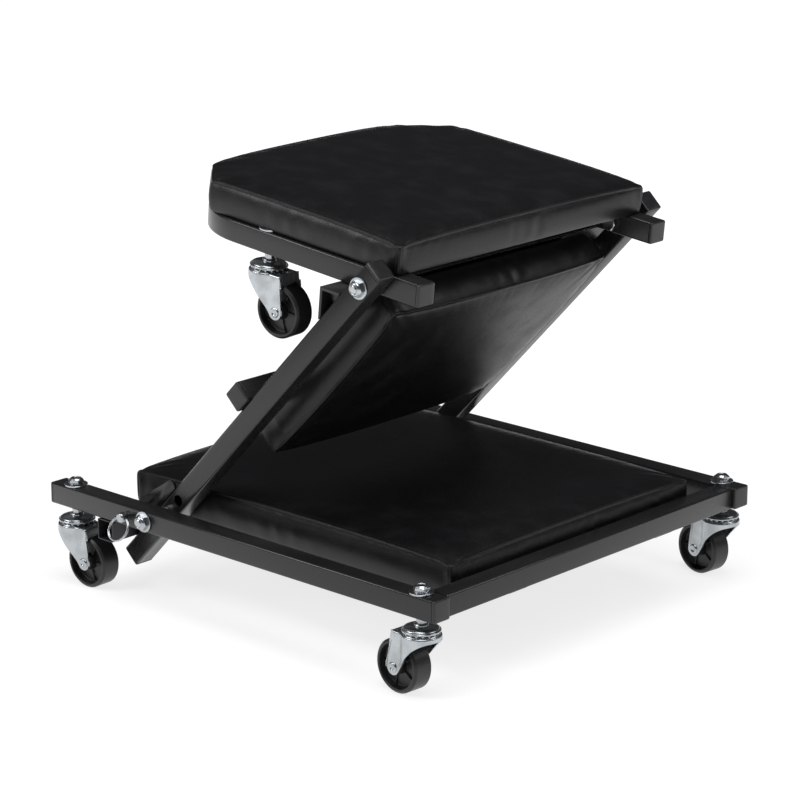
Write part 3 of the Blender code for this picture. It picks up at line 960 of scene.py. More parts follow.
@dataclass(frozen=True)
class HingeBolt:
    """A hinge bolt through two rails: head inside, spacer between, flange nut outside."""

    section: Section
    node: str
    side: Side
    inner_rail: str
    outer_rail: str
    parts: Fasteners = Fasteners()
    sleeve: float = 8 * MM
    clear: float = 0.3 * MM
    head: float = 5.6 * MM
    flange_top: float = 1.5 * MM
    nut_seat: float = 1.1 * MM
    nut_height: float = 6.2 * MM
    stick_out: float = 8 * MM
    seat_tube: float = 20 * MM

    def heights(self) -> tuple[float, float, float, float]:
        """Distances from the middle: head seat, both ends of the spacer, and nut seat."""
        reach = []
        for rail in (self.inner_rail, self.outer_rail):
            low, high = self.section.extent(rail)
            outer = max(abs(low[1]), abs(high[1]))
            reach += [outer - self.tube(rail), outer]
        return reach[0], reach[1], reach[2], reach[3]

    def tube(self, rail: str) -> float:
        """The side of a rail's tube."""
        low, high = self.section.extent(rail)
        if "frame" in rail:
            return self.seat_tube
        return float(min(high[1] - low[1], high[2] - low[2]))

    def build(self, finish: Finish, where: Array) -> bpy.types.Object:
        """Stack the pieces along the bolt.

        Args:
            finish: Its finish.
            where: The hinge's place in the row frame, in the middle of the creeper.

        Returns:
            The piece.
        """
        head, spacer_in, spacer_out, nut = self.heights()
        parts = self.parts
        start = head - 1 * MM
        shank = turned([(0, start), (parts.thread, start), (parts.thread, nut), (0, nut)], 30)
        inwards = np.diag([1.0, 1.0, -1.0, 1.0])
        shell = (
            parts.bolt_head(self.clear - head, self.head - head).placed(inwards)
            + shank
            + parts.ring(parts.thread, self.sleeve, spacer_in + self.clear, spacer_out - self.clear)
            + parts.ring(parts.thread, parts.flange, nut + self.clear, nut + self.flange_top)
            + parts.lock_nut(nut + self.nut_seat, self.nut_height)
            + parts.threaded_end(nut, nut + self.stick_out)
        )
        outward = LEFTWARD * self.side.value
        turn = axes(where, unit(np.array([1.0, 0.0, 0.35])), outward)
        shell = shell.placed(turn)
        return fit(f"{self.node}_detail", shell, finish, self.section.body, [self.node])


# ---------------------------------------------------------------- casters

CROWN_RINGS = np.array([0.01, 5, 9, 11, 12.4, 13.2, 13.8, 14.4, 15.0, 15.6, 16.05])


@dataclass(frozen=True)
class Caster:
    """A swivel stem caster; heights are measured down from the underside of its tube."""

    name: str
    holder: str
    parts: Fasteners = Fasteners()
    neck: float = 3.9 * MM
    race: float = 17.0 * MM
    race_rim: float = 12.9 * MM
    crown: float = 17.8 * MM
    crown_top: float = 15.3 * MM
    lip: float = 1.3 * MM
    sheet: float = 1.8 * MM
    leg: float = 13.4 * MM
    leg_tip: float = 6.8 * MM
    corner: float = 1.7 * MM
    leg_lean: float = 5.5 * MM
    lean_depth: float = 28 * MM
    bend: float = 1.4 * MM
    collar_drop: float = 7.3 * MM
    collar_radius: float = 6.2 * MM
    dome: float = 2.5 * MM
    track: float = 14.6 * MM
    track_width: float = 1.2 * MM
    ball: float = 1.25 * MM
    ball_circle: float = 15.2 * MM
    wheel: float = 24.2 * MM
    wheel_width: float = 20.4 * MM
    ribs: int = 5
    balls: int = 18

    def joint(self, motion: str) -> Mapping[str, Any]:
        """The caster's swivel or roll joint."""
        return JOINTS[f"{self.name}_{motion}"]

    def layout(self) -> tuple[Array, float, float]:
        """The stem's axes with x towards the wheel, and the axle's trail and drop along them."""
        origin = np.array(self.joint("swivel")["pos_m"])
        up = unit(np.array(self.joint("swivel")["axis"]))
        offset = np.array(self.joint("roll")["pos_m"]) - origin
        drop = float(-offset @ up)
        level = offset + drop * up
        return axes(origin, unit(level), up), float(np.linalg.norm(level)), drop

    def stem(self) -> Shell:
        """Hexagon neck, small collar and domed race: a quarter of an ellipse, rolled at its rim."""
        collar, shoulder = -self.collar_drop, self.race - 1.3 * MM
        slope = np.linspace(0, math.pi / 2, 9)
        dome = np.column_stack([
            self.collar_radius + (shoulder - self.collar_radius) * np.sin(slope),
            collar - 1.0 * MM - self.dome * (1 - np.cos(slope)),
        ])
        rim = filleted(
            [
                (shoulder, dome[-1, 1]), (self.race, -self.race_rim + 1.6 * MM),
                (self.race, -self.race_rim), (self.race - 1.4 * MM, -self.race_rim),
                (self.race - 3.5 * MM, 1.2 * MM - self.race_rim),
                (9 * MM, 1.0 * MM - self.race_rim), (0, 1.0 * MM - self.race_rim),
            ],
            0.7 * MM,
        )
        collar_top = [
            (0, collar + 1 * MM), (5.4 * MM, collar + 1 * MM), (6.0 * MM, collar + 0.4 * MM),
            (self.collar_radius, collar),
        ]
        race = turned(np.vstack([filleted(collar_top, 0.3 * MM), dome, rim]), 64)
        top, foot, corner = -0.3 * MM, collar + 0.5 * MM, 5.0 * MM
        neck = [(0, top), (corner, top), (corner, foot), (0, foot)]
        return race + turned(filleted(neck, 0.35 * MM), 48, 2 * self.neck)

    def nuts(self, tube: float) -> Shell:
        """Flat washer, spring washer, lock nut and the end of the stud, on top of the tube."""
        seat = tube + WASHER_CLEAR
        return (
            self.parts.ring(self.parts.thread, self.parts.washer, seat, seat + 1.5 * MM)
            + self.parts.spring_washer(seat + 1.4 * MM, 1.5 * MM)
            + self.parts.lock_nut(seat + 2.8 * MM, 4.4 * MM)
            + self.parts.threaded_end(seat, seat + 6.6 * MM)
        )

    def plan(self, trail: float, drop: float) -> tuple[Array, Array]:
        """The fork seen from above, and the height of its lower edge all the way round.

        One half runs from the middle of the rear lip along a leg, out through an S-curve to
        the crown's circle and round to the front; the other half mirrors it.  The lower edge
        is an arch over the wheel, a round tip under the axle, and a power curve up to the front.

        Args:
            trail: The axle's distance behind the stem.
            drop: The axle's distance below the tube.

        Returns:
            Rows of x and y, and the heights.
        """
        rear, front_edge = trail + self.leg_tip + self.corner, -self.crown_top - 4.4 * MM
        arch = np.linspace(0, 1, 8)
        lip_low = -self.crown_top - 7.4 * MM - 3.0 * MM * arch**6
        lip = np.column_stack([np.full(8, rear), (self.leg - self.corner) * arch])
        quarter = np.linspace(0, math.pi / 2, 5)[1:]
        turned_in = np.array([rear - self.corner, self.leg - self.corner])
        corner = turned_in + self.corner * np.column_stack([np.cos(quarter), np.sin(quarter)])
        corner_low = np.full(4, lip_low[-1])

        turn = np.linspace(math.radians(10), math.radians(151), 16)
        leg_x = trail + self.leg_tip * np.cos(turn)
        leg_low = -drop - self.leg_tip * np.sin(turn)
        leg = np.column_stack([leg_x, np.full(16, self.leg)])

        join = np.linspace(leg_x[-1], 2 * MM, 15)[1:]
        circle_y = math.sqrt(self.crown**2 - (2 * MM) ** 2)
        bow = self.leg + (circle_y - self.leg) * smooth((leg_x[-1] - join) / (leg_x[-1] - 2 * MM))
        sweep = np.linspace(math.acos(2 * MM / self.crown), math.pi, 16)[1:]
        circle = self.crown * np.column_stack([np.cos(sweep), np.sin(sweep)])
        outer = np.vstack([np.column_stack([join, bow]), circle])
        share = (outer[:, 0] + self.crown) / (leg_x[-1] + self.crown)
        outer_low = front_edge + (leg_low[-1] - front_edge) * np.clip(share, 0, 1) ** 1.6

        half = np.vstack([lip, corner, leg, outer])
        low = np.concatenate([lip_low, corner_low, leg_low, outer_low])
        return np.vstack([half, half[-2:0:-1] * (1, -1)]), np.concatenate([low, low[-2:0:-1]])

    def fork(self, trail: float, drop: float) -> Shell:
        """The outside of the pressed fork, from the crown's middle out, round its edge and down.

        Rings about the stem carry the raised ball track, a bell curve of the radius; then the
        surface follows the plan outline, turns down through a quarter circle and runs to the
        lower edge.  The legs lean back: x falls with the square of its share of the length,
        fully at the crown and not at all at the axle.
        """
        plan, low = self.plan(trail, drop)
        ahead = np.roll(plan, -1, axis=0) - np.roll(plan, 1, axis=0)
        outward = np.column_stack([-ahead[:, 1], ahead[:, 0]])
        outward /= np.linalg.norm(outward, axis=1, keepdims=True)
        outward *= np.sign(np.sum(outward * plan, axis=1, keepdims=True))
        bend = self.bend
        edge = plan - outward * bend
        reach = np.linalg.norm(edge, axis=1, keepdims=True)
        ray = edge / reach
        radii = CROWN_RINGS * MM
        track = self.lip * np.exp(-(((radii - self.track) / self.track_width) ** 2))
        level = np.ones(len(plan))
        rings = [
            np.column_stack([ray * radius, level * (rise - self.crown_top)])
            for radius, rise in zip(radii, track)
        ]
        halfway = (ray * radii[-1] + edge) / 2
        rings += [np.column_stack([flat, level * -self.crown_top]) for flat in (halfway, edge)]
        for angle in np.linspace(0, math.pi / 2, 5)[1:]:
            rolled = edge + outward * bend * math.sin(angle)
            height = -self.crown_top - bend * (1 - math.cos(angle))
            rings.append(np.column_stack([rolled, level * height]))
        start = -self.crown_top - bend
        for share in np.linspace(0, 1, 9)[1:]:
            rings.append(np.column_stack([plan, start + (low - start) * share]))
        grid = np.array(rings)
        rear = plan[:, 0].max()
        depth = np.clip((-self.crown_top - grid[..., 2]) / self.lean_depth, 0, 1)
        forward = self.leg_lean * (1 - depth) * np.clip(grid[..., 0] / rear, 0, 1) ** 2
        grid[..., 0] -= forward
        return lattice(grid, loop_cols=True)

    def rivets(self, trail: float, drop: float) -> Shell:
        """The hollow-ended axle, riveted over outside both legs."""
        out = self.leg
        head = filleted(
            [
                (0, out + 0.4 * MM), (1.6 * MM, out + 0.5 * MM), (2.5 * MM, out + 1.3 * MM),
                (3.9 * MM, out + 1.4 * MM), (4.7 * MM, out + 0.5 * MM),
                (4.8 * MM, out - 0.2 * MM), (3.2 * MM, out - 0.3 * MM),
            ],
            0.5 * MM,
        )
        shaft = np.vstack([head, head[::-1] * (1, -1)])
        return turned(shaft, 36).placed(self.axle(trail, drop))

    @staticmethod
    def axle(trail: float, drop: float) -> Array:
        """The axle's axes in the fork: z along the axle."""
        return axes(np.array([trail, 0.0, -drop]), np.array([1.0, 0.0, 0.0]), LEFTWARD)

    def race_balls(self) -> Shell:
        """A ring of small balls in the gap between the upper race and the crown."""
        latitude = np.linspace(0, math.pi, 7)
        profile = self.ball * np.column_stack([np.sin(latitude), np.cos(latitude)])
        shell = None
        for angle in np.linspace(0, math.tau, self.balls, endpoint=False):
            x, y = self.ball_circle * math.cos(angle), self.ball_circle * math.sin(angle)
            spot = np.eye(4)
            spot[:3, 3] = x, y, -self.race_rim - 0.55 * MM
            ball = turned(profile, 10).placed(spot)
            shell = shell + ball if shell else ball
        return shell

    def tyre(self) -> Shell:
        """One-piece wheel: a turned profile whose web rises into ribs.

        The height of the web is its profile plus, near each rib's angle, a smooth ridge whose
        width is the same all along the rib.
        """
        half, rim = self.wheel_width / 2, self.wheel - 3.8 * MM
        corners = [
            (3.7 * MM, half + 0.7 * MM), (6.4 * MM, half + 0.7 * MM), (7.0 * MM, half - 1.5 * MM),
            (7.6 * MM, 3.6 * MM), (rim - 1.2 * MM, 3.2 * MM), (rim - 0.3 * MM, half - 0.9 * MM),
            (rim + 0.1 * MM, half - 0.2 * MM), (self.wheel - 2.0 * MM, half),
            (self.wheel, half - 2.0 * MM),
        ]
        outside = filleted(corners, 0.7 * MM)
        web = np.linspace(0, 1, 9)[1:-1, None]
        inner = np.argmax(outside[:, 1] < 3.7 * MM)
        web_end = np.array([rim - 2.0 * MM, 3.25 * MM])
        outside = np.vstack([
            outside[: inner + 1],
            outside[inner] + (web_end - outside[inner]) * web,
            outside[inner + 1 :][outside[inner + 1 :, 0] > rim - 1.9 * MM],
        ])
        profile = np.vstack([outside, outside[::-1] * (1, -1)])
        segments = 132
        shell = turned(profile, segments, loop=True)
        x, y, z = shell.points.T
        radius, angle = np.hypot(x, y), np.arctan2(y, x)
        spacing = math.tau / self.ribs
        aside = np.abs((angle + spacing / 2) % spacing - spacing / 2) * radius
        past_hub = smooth((radius - 7.2 * MM) / (0.6 * MM))
        on_web = past_hub * smooth((rim - 0.7 * MM - radius) / (0.6 * MM))
        ridge = 1.8 * MM * smooth((1.1 * MM - aside) / (0.8 * MM)) * on_web
        return Shell(np.column_stack([x, y, z + np.sign(z) * ridge]), shell.faces)

    def build(self, finishes: Finishes) -> None:
        """Make the caster's six pieces and put each on its body."""
        stand, trail, drop = self.layout()
        zinc, holder = finishes.zinc, self.holder
        stem, nut = f"{self.name}_stem", f"{self.name}_nut"
        fork, wheel = f"{self.name}_fork", f"{self.name}_wheel"
        upright = Section(holder, stand[:3, 3], stand[:3, 0], stand[:3, 2])
        tube = upright.extent(nut)[0][2] - WASHER_CLEAR
        fit(f"{stem}_detail", self.stem().placed(stand), zinc, holder, [stem])
        fit(f"{nut}_detail", self.nuts(tube).placed(stand), zinc, holder, [nut])
        pressing = self.fork(trail, drop).placed(stand)
        self.thicken(fit(f"{fork}_detail", pressing, zinc, fork, [fork]))
        fit(f"{self.name}_axle", self.rivets(trail, drop).placed(stand), zinc, fork)
        fit(f"{self.name}_balls", self.race_balls().placed(stand), zinc, fork, crease=BALL_CREASE)
        tyre = self.tyre().placed(stand @ self.axle(trail, drop))
        fit(f"{wheel}_detail", tyre, finishes.wheels, wheel, [wheel], crease=WHEEL_CREASE)

    def thicken(self, fork: bpy.types.Object) -> None:
        """Give the fork's outside its sheet thickness, inwards, and break its cut edges."""
        wall = fork.modifiers.new("sheet", "SOLIDIFY")
        wall.thickness = self.sheet
        wall.offset = -1
        wall.use_quality_normals = True
        broken_edges(fork, CUT_EDGE, CUT_EDGE_ANGLE)


# ---------------------------------------------------------------- lock pin


@dataclass(frozen=True)
class LockPin:
    """The pull pin through the right base rail, and the split ring in its cross hole."""

    wire: float = 0.68 * MM
    eye: float = 2.2 * MM
    head: float = 4.6 * MM
    shank: float = 3.9 * MM
    drill: float = 14 * MM

    def pin(self) -> Shell:
        """A turned pin with a domed end, lying along Y inside its node's box."""
        low, high = map(np.array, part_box("lock_pin"))
        middle = (low + high) / 2
        length = high[1] - low[1]
        profile = filleted(
            [
                (0, 0), (self.head - 0.9 * MM, 0), (self.head, 1.1 * MM), (self.head, 7.6 * MM),
                (self.shank, 8.2 * MM), (self.shank, length - 1.2 * MM),
                (self.shank - 1.2 * MM, length), (0, length),
            ],
            0.6 * MM,
        )
        start = np.array([middle[0], low[1], middle[2]])
        return turned(profile, 36).placed(axes(start, np.array([1.0, 0, 0]), LEFTWARD))

    def ring(self) -> Shell:
        """Two turns of wire side by side, blended from one to the other by a smooth step."""
        joint = JOINTS["pin_ring_swing"]
        hinge = np.array(joint["pos_m"])
        low, high = map(np.array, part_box("pin_ring"))
        centre = (low + high) / 2
        hang = unit(centre - hinge)
        radius = (high[0] - low[0]) / 2 - 1.25 * MM
        turns = np.linspace(0, 2 * math.tau, 145)
        jump = smooth((turns - math.tau + 0.35) / 0.7) * 2 - 1
        side = unit(np.cross(hang, np.array([1.0, 0.0, 0.0])))
        circle = np.outer(np.cos(turns), -hang) + np.outer(np.sin(turns), [1.0, 0.0, 0.0])
        path = centre + radius * circle + np.outer(jump * self.wire * 0.96, side)
        around = np.linspace(0, math.tau, 12, endpoint=False)
        section = self.wire * np.column_stack([np.cos(around), np.sin(around)])
        return lattice(carried(path, section, side), loop_cols=True, caps=True)

    def build(self, finish: Finish) -> None:
        """Make the pin, drill its eye, and hang the ring in it."""
        pin = fit("lock_pin_detail", self.pin(), finish, "lock_pin", ["lock_pin"])
        hole = np.array(JOINTS["pin_ring_swing"]["pos_m"])
        bore(pin, hole, np.array([1.0, 0.0, 0.0]), self.eye, self.drill)
        fit("pin_ring_detail", self.ring(), finish, "pin_ring", ["pin_ring"])


def bore(
    piece: bpy.types.Object, centre: Array, along: Array, radius: float, length: float
) -> None:
    """Cut a round hole through a piece.

    Args:
        piece: The piece to drill.
        centre: The middle of the hole, in the row frame.
        along: The hole's direction.
        radius: Its radius.
        length: How long the cutter is.
    """
    half = length / 2
    rod = turned([(0, -half), (radius, -half), (radius, half), (0, half)], 32)
    crosswise = unit(np.cross(along, (0.3, 0.5, 0.8)))
    rod = rod.placed(axes(centre, crosswise, along))
    cutter = meshed("cutter", rod.points, rod.faces)
    tidy(cutter)
    tool = linked("cutter", cutter)
    cut = piece.modifiers.new("hole", "BOOLEAN")
    cut.object = tool
    cut.solver = "EXACT"
    settle(piece)
    bpy.data.objects.remove(tool, do_unlink=True)
    bpy.data.meshes.remove(cutter)
    piece.data.shade_smooth()
    piece.data.set_sharp_from_angle(angle=math.radians(CREASE))


# ---------------------------------------------------------------- pads

EDGE_LINES = np.array([0.0, 1.2, 2.6, 4.6, 8.0])
BLOWING_FRAMES = 20
COVER = {
    "quality": 4,
    "mass": 0.2,
    "tension_stiffness": 12,
    "compression_stiffness": 8,
    "shear_stiffness": 4,
    "bending_stiffness": 0.4,
    "use_pressure": True,
    "uniform_pressure_force": 4,
    "pin_stiffness": 1,
}


@dataclass(frozen=True)
class Cushion:
    """A stuffed pad whose cover is sewn round its top edge and wrapped round a board.

    On its section's axes its face looks along z, or against it where up is -1.  The cover is
    the surface of a block: u runs along the section, v across it and w from the back to the face.
    """

    section: Section
    node: str
    board: str
    up: int = 1
    chamfer: float = 0.0
    cell: float = 4 * MM
    soft_edge: float = 4.5 * MM
    rim: float = 3.4 * MM
    clear: float = 0.4 * MM
    crown: float = 5.5 * MM
    corner_drop: float = 1.0 * MM
    bulge: float = 1.6 * MM
    travel: float = 2.4 * MM
    ridge: float = 0.5 * MM
    groove: float = 0.75 * MM
    gather: float = 0.95 * MM
    lift: float = -0.4 * MM
    fill: float = 0.8

    def stations(self, length: float) -> Array:
        """Distances of the grid lines along one side: close together next to a sewn edge."""
        near = EDGE_LINES * MM
        steps = max(2, round((length - 2 * near[-1]) / self.cell))
        inner = np.linspace(near[-1], length - near[-1], steps + 1)
        return np.concatenate([near[:-1], inner, (length - near)[:-1][::-1]])

    def block(self, lines: tuple[Array, Array, Array]) -> tuple[Array, Array]:
        """The surface of a block of cells: grid indices of its points, and its quads.

        Every face of the block is a grid of index triples; equal triples are one point.
        """
        counts = [len(line) for line in lines]
        quads = []
        for axis in range(3):
            first, second = [other for other in range(3) if other != axis]
            rows, cols = np.arange(counts[first]), np.arange(counts[second])
            grid = np.stack(np.meshgrid(rows, cols, indexing="ij"), -1)
            for level in (0, counts[axis] - 1):
                triple = np.insert(grid, axis, level, axis=-1)
                corners = [triple[:-1, :-1], triple[1:, :-1], triple[1:, 1:], triple[:-1, 1:]]
                quads.append(np.stack(corners, axis=2).reshape(-1, 4, 3))
        corners = np.concatenate(quads).reshape(-1, 3)
        points, index = np.unique(corners, axis=0, return_inverse=True)
        return points, index.reshape(-1, 4)

    def shape(self, spot: Array, size: Array, low: Array) -> Array:
        """Where a point of the block lies on the section's axes.

        Along: straight.  Across: half the width, less what the chamfered corners take, times a
        small outward bow that is full in the middle of a side and of the height.  Height: the
        back is flat with a recess for the board; the face is a crown that falls from the middle
        to the sides, and a little more at the corners.

        Args:
            spot: Distances along, across and up the block, one row a point.
            size: The block's three sides.
            low: The block's lowest corner on the section's axes.

        Returns:
            The points on the section's axes.
        """
        along, across, up = (spot / size).T
        centre_u, centre_v = 2 * along - 1, 2 * across - 1
        inset = spot[:, 0]
        taken = np.maximum(self.chamfer - inset, 0.0) if self.chamfer else np.zeros_like(inset)
        half = size[1] / 2 - taken
        edge = np.minimum.reduce([inset, size[0] - inset, half * (1 - np.abs(centre_v))])
        belly = np.sin(math.pi * np.clip(up, 0, 1)) ** 0.8
        x = spot[:, 0] + self.bulge * belly * centre_u**9 * (1 - centre_v**6)
        y = centre_v * (half + self.bulge * belly * (1 - centre_u**6) * np.abs(centre_v) ** 8)
        puff = self.crown * (1 - 0.5 * np.abs(centre_u) ** 2.6 - 0.5 * np.abs(centre_v) ** 2.6)
        droop = self.corner_drop * np.abs(centre_u * centre_v) ** 6
        recess = self.recess() * smooth((edge - self.rim + 1 * MM) / (1 * MM))
        z = recess * (1 - up) + (size[2] + puff - droop) * up
        tuck = 1.6 * MM * (1 - up) ** 6 * smooth(1 - edge / (3 * MM))
        x -= np.sign(centre_u) * tuck * (np.abs(centre_u) > 0.9)
        y -= np.sign(centre_v) * tuck * (np.abs(centre_v) > 0.9)
        near_end = np.minimum(inset, size[0] - inset)
        inward = self.rounding(near_end, half * (1 - np.abs(centre_v)), size[2] - spot[:, 2])
        x -= np.sign(centre_u) * inward[0]
        y -= np.sign(centre_v) * inward[1]
        return np.column_stack([x + low[0], y + low[1] + size[1] / 2, z - inward[2]])

    def rounding(self, *distances: Array) -> Array:
        """How far the pad's edges and corners move in along each direction to be round.

        Near an edge the block's square corner is mapped to a ball: each share of the radius is
        scaled by the root of 1 less half of each other square, plus a third of their product.

        Args:
            *distances: Each point's distances from the end, the side and the face.

        Returns:
            The moves, one row a direction.
        """
        shares = [np.clip(1 - distance / self.soft_edge, 0, 1) ** 2 for distance in distances]
        moves = []
        for number, own in enumerate(shares):
            first, second = [other for index, other in enumerate(shares) if index != number]
            scale = np.sqrt(np.clip(1 - first / 2 - second / 2 + first * second / 3, 0, 1))
            moves.append(self.soft_edge * np.sqrt(own) * (1 - scale))
        return np.array(moves)

    def recess(self) -> float:
        """How far the board reaches up into the pad, with its clearance."""
        low, high = self.section.extent(self.board)
        return float(high[2] - low[2]) + self.clear

    def puckers(self, points: Array, spot: Array, size: Array) -> Array:
        """Soft gathers on the sewn sides: waves of the way round, where two slow waves agree.

        Args:
            points: The pad's points on its section's axes.
            spot: Each point's place in the block.
            size: The block's three sides.

        Returns:
            How far each point moves out of the side, in metres.
        """
        round_way = np.arctan2(spot[:, 1] - size[1] / 2, spot[:, 0] - size[0] / 2)
        way = np.where(np.abs(points[:, 1]) > np.abs(points[:, 0]), points[:, 0], points[:, 1])
        slow = 0.5 + 0.5 * np.sin(way / (31 * MM) + 3 * round_way) * np.sin(way / (47 * MM) + 1.3)
        height = np.clip(spot[:, 2] / size[2], 0, 1)
        lean = way + 9 * MM * height * np.sin(way / (37 * MM))
        wide = np.sin(lean / (4.4 * MM) + 2.2 * np.sin(way / (19 * MM)))
        fine = np.sin(lean / (2.1 * MM) + 3.0 * np.sin(way / (11 * MM))) * height**2
        return self.gather * (0.8 * wide + 0.9 * fine) * slow * np.sin(math.pi * height) ** 0.8

    def build(self, finish: Finish) -> bpy.types.Object:
        """Shape, inflate, sew and dress the pad."""
        low, high = self.section.extent(self.node)
        size = high - low
        size[2] += self.lift
        lines = tuple(self.stations(side) for side in size[:2])
        top = size[2] - EDGE_LINES[3::-1] * MM
        depth = np.concatenate([[0, 2.0 * MM], np.linspace(6 * MM, top[0], 4), top[1:]])
        index, quads = self.block((*lines, depth))
        spot = np.stack([lines[0][index[:, 0]], lines[1][index[:, 1]], depth[index[:, 2]]], axis=-1)
        points = self.shape(spot, size, low)
        mesh = meshed(self.node, points, quads.tolist())
        tidy_faces(mesh)
        pad = linked(f"{self.node}_detail", mesh)

        distance, top_seam = self.seams(index, (*lines, depth))
        self.inflate(pad, np.clip((index[:, 2] <= 1) + 0.35 * top_seam, 0, 1))
        self.sew(pad, spot, size, distance)
        self.place(pad, size, low, high)
        attribute = mesh.attributes.new(SEAM_DISTANCE, "FLOAT", "POINT")
        attribute.data.foreach_set("value", distance.astype(np.float32))
        rounder = pad.modifiers.new("smooth", "SUBSURF")
        rounder.levels = rounder.render_levels = 1
        dress(pad, finish, self.section.body, [self.node], crease=PAD_CREASE)
        return pad

    def inflate(self, pad: bpy.types.Object, held: Array) -> None:
        """Blow the cover up a little as cloth, with the back held, and cap how far it moves.

        Args:
            pad: The pad.
            held: How firmly each point is pinned, from 0 to 1.
        """
        rest = positions(pad.data)
        group = pad.vertex_groups.new(name="held")
        for weight in np.unique(held):
            group.add(np.flatnonzero(held == weight).tolist(), float(weight), "REPLACE")
        cloth = pad.modifiers.new("cloth", "CLOTH")
        for setting, value in COVER.items():
            setattr(cloth.settings, setting, value)
        cloth.settings.vertex_group_mass = "held"
        cloth.settings.effector_weights.gravity = 0
        cloth.point_cache.frame_start, cloth.point_cache.frame_end = 1, BLOWING_FRAMES
        scene = bpy.context.scene
        for step in range(1, BLOWING_FRAMES + 1):
            scene.frame_set(step)
        blown = positions(pad.evaluated_get(bpy.context.evaluated_depsgraph_get()).data)
        scene.frame_set(1)
        pad.modifiers.clear()
        pad.vertex_groups.clear()
        move = blown - rest
        length = np.linalg.norm(move, axis=1, keepdims=True)
        capped = self.travel * np.tanh(length / self.travel) / np.maximum(length, NEARLY_NOTHING)
        pad.data.vertices.foreach_set("co", (rest + move * capped).astype(np.float32).ravel())
        LOG.info("%s inflated, %.1f mm at most", pad.name, length.max() / MM)

    def sew(self, pad: bpy.types.Object, spot: Array, size: Array, distance: Array) -> None:
        """Raise the seams in a ridge with a groove beside it, and gather the sides.

        Across a seam the height is a narrow bell curve less a wider one centred beside it.

        Args:
            pad: The pad.
            spot: Each point's place in the block.
            size: The block's three sides.
            distance: Each point's distance from the nearest seam.
        """
        pad.data.update()
        normals = np.empty(len(spot) * 3, np.float32)
        pad.data.vertex_normals.foreach_get("vector", normals)
        normals = normals.reshape(-1, 3)
        points = positions(pad.data)
        raised = self.ridge * np.exp(-((distance / (1.0 * MM)) ** 2))
        raised -= self.groove * np.exp(-(((distance - 2.6 * MM) / (1.0 * MM)) ** 2))
        side = smooth(1 - np.abs(normals[:, 2]) * 1.6)
        points += normals * (raised + self.puckers(points, spot, size) * side)[:, None]
        pad.data.vertices.foreach_set("co", points.astype(np.float32).ravel())

    def place(self, pad: bpy.types.Object, size: Array, low: Array, high: Array) -> None:
        """Stand the pad on its back at its board, facing up or down, in the row frame."""
        points = positions(pad.data)
        if self.up > 0:
            points[:, 2] += low[2]
        else:
            points[:, 2] = high[2] - points[:, 2]
        matrix = self.section.matrix
        world = points @ matrix[:3, :3].T + matrix[:3, 3]
        pad.data.vertices.foreach_set("co", world.astype(np.float32).ravel())
        tidy_faces(pad.data)

    def seams(self, index: Array, lines: tuple[Array, ...]) -> tuple[Array, Array]:
        """Each point's distance from the nearest seam, and which points are on the face's seam.

        Args:
            index: Each point's grid indices.
            lines: The grid lines along, across and up the block.

        Returns:
            The distances, and a mask.
        """
        near = [
            np.minimum(line, line[-1] - line)[index[:, axis]] for axis, line in enumerate(lines)
        ]
        below = (lines[2][-1] - lines[2])[index[:, 2]]
        top = np.maximum(np.minimum(near[0], near[1]), below)
        return np.minimum(top, np.maximum(near[0], near[1])), top < 0.1 * MM


def tidy_faces(mesh: bpy.types.Mesh) -> None:
    """Turn a closed mesh's faces outwards and keep its points in order."""
    worked(mesh, facing_out)
    mesh.update()


# ---------------------------------------------------------------- studio


@dataclass(frozen=True)
class SoftLight:
    """A square soft light aimed at the creeper: angles in degrees, power in watts."""

    name: str
    azimuth: float
    elevation: float
    distance: float
    size: float
    power: float


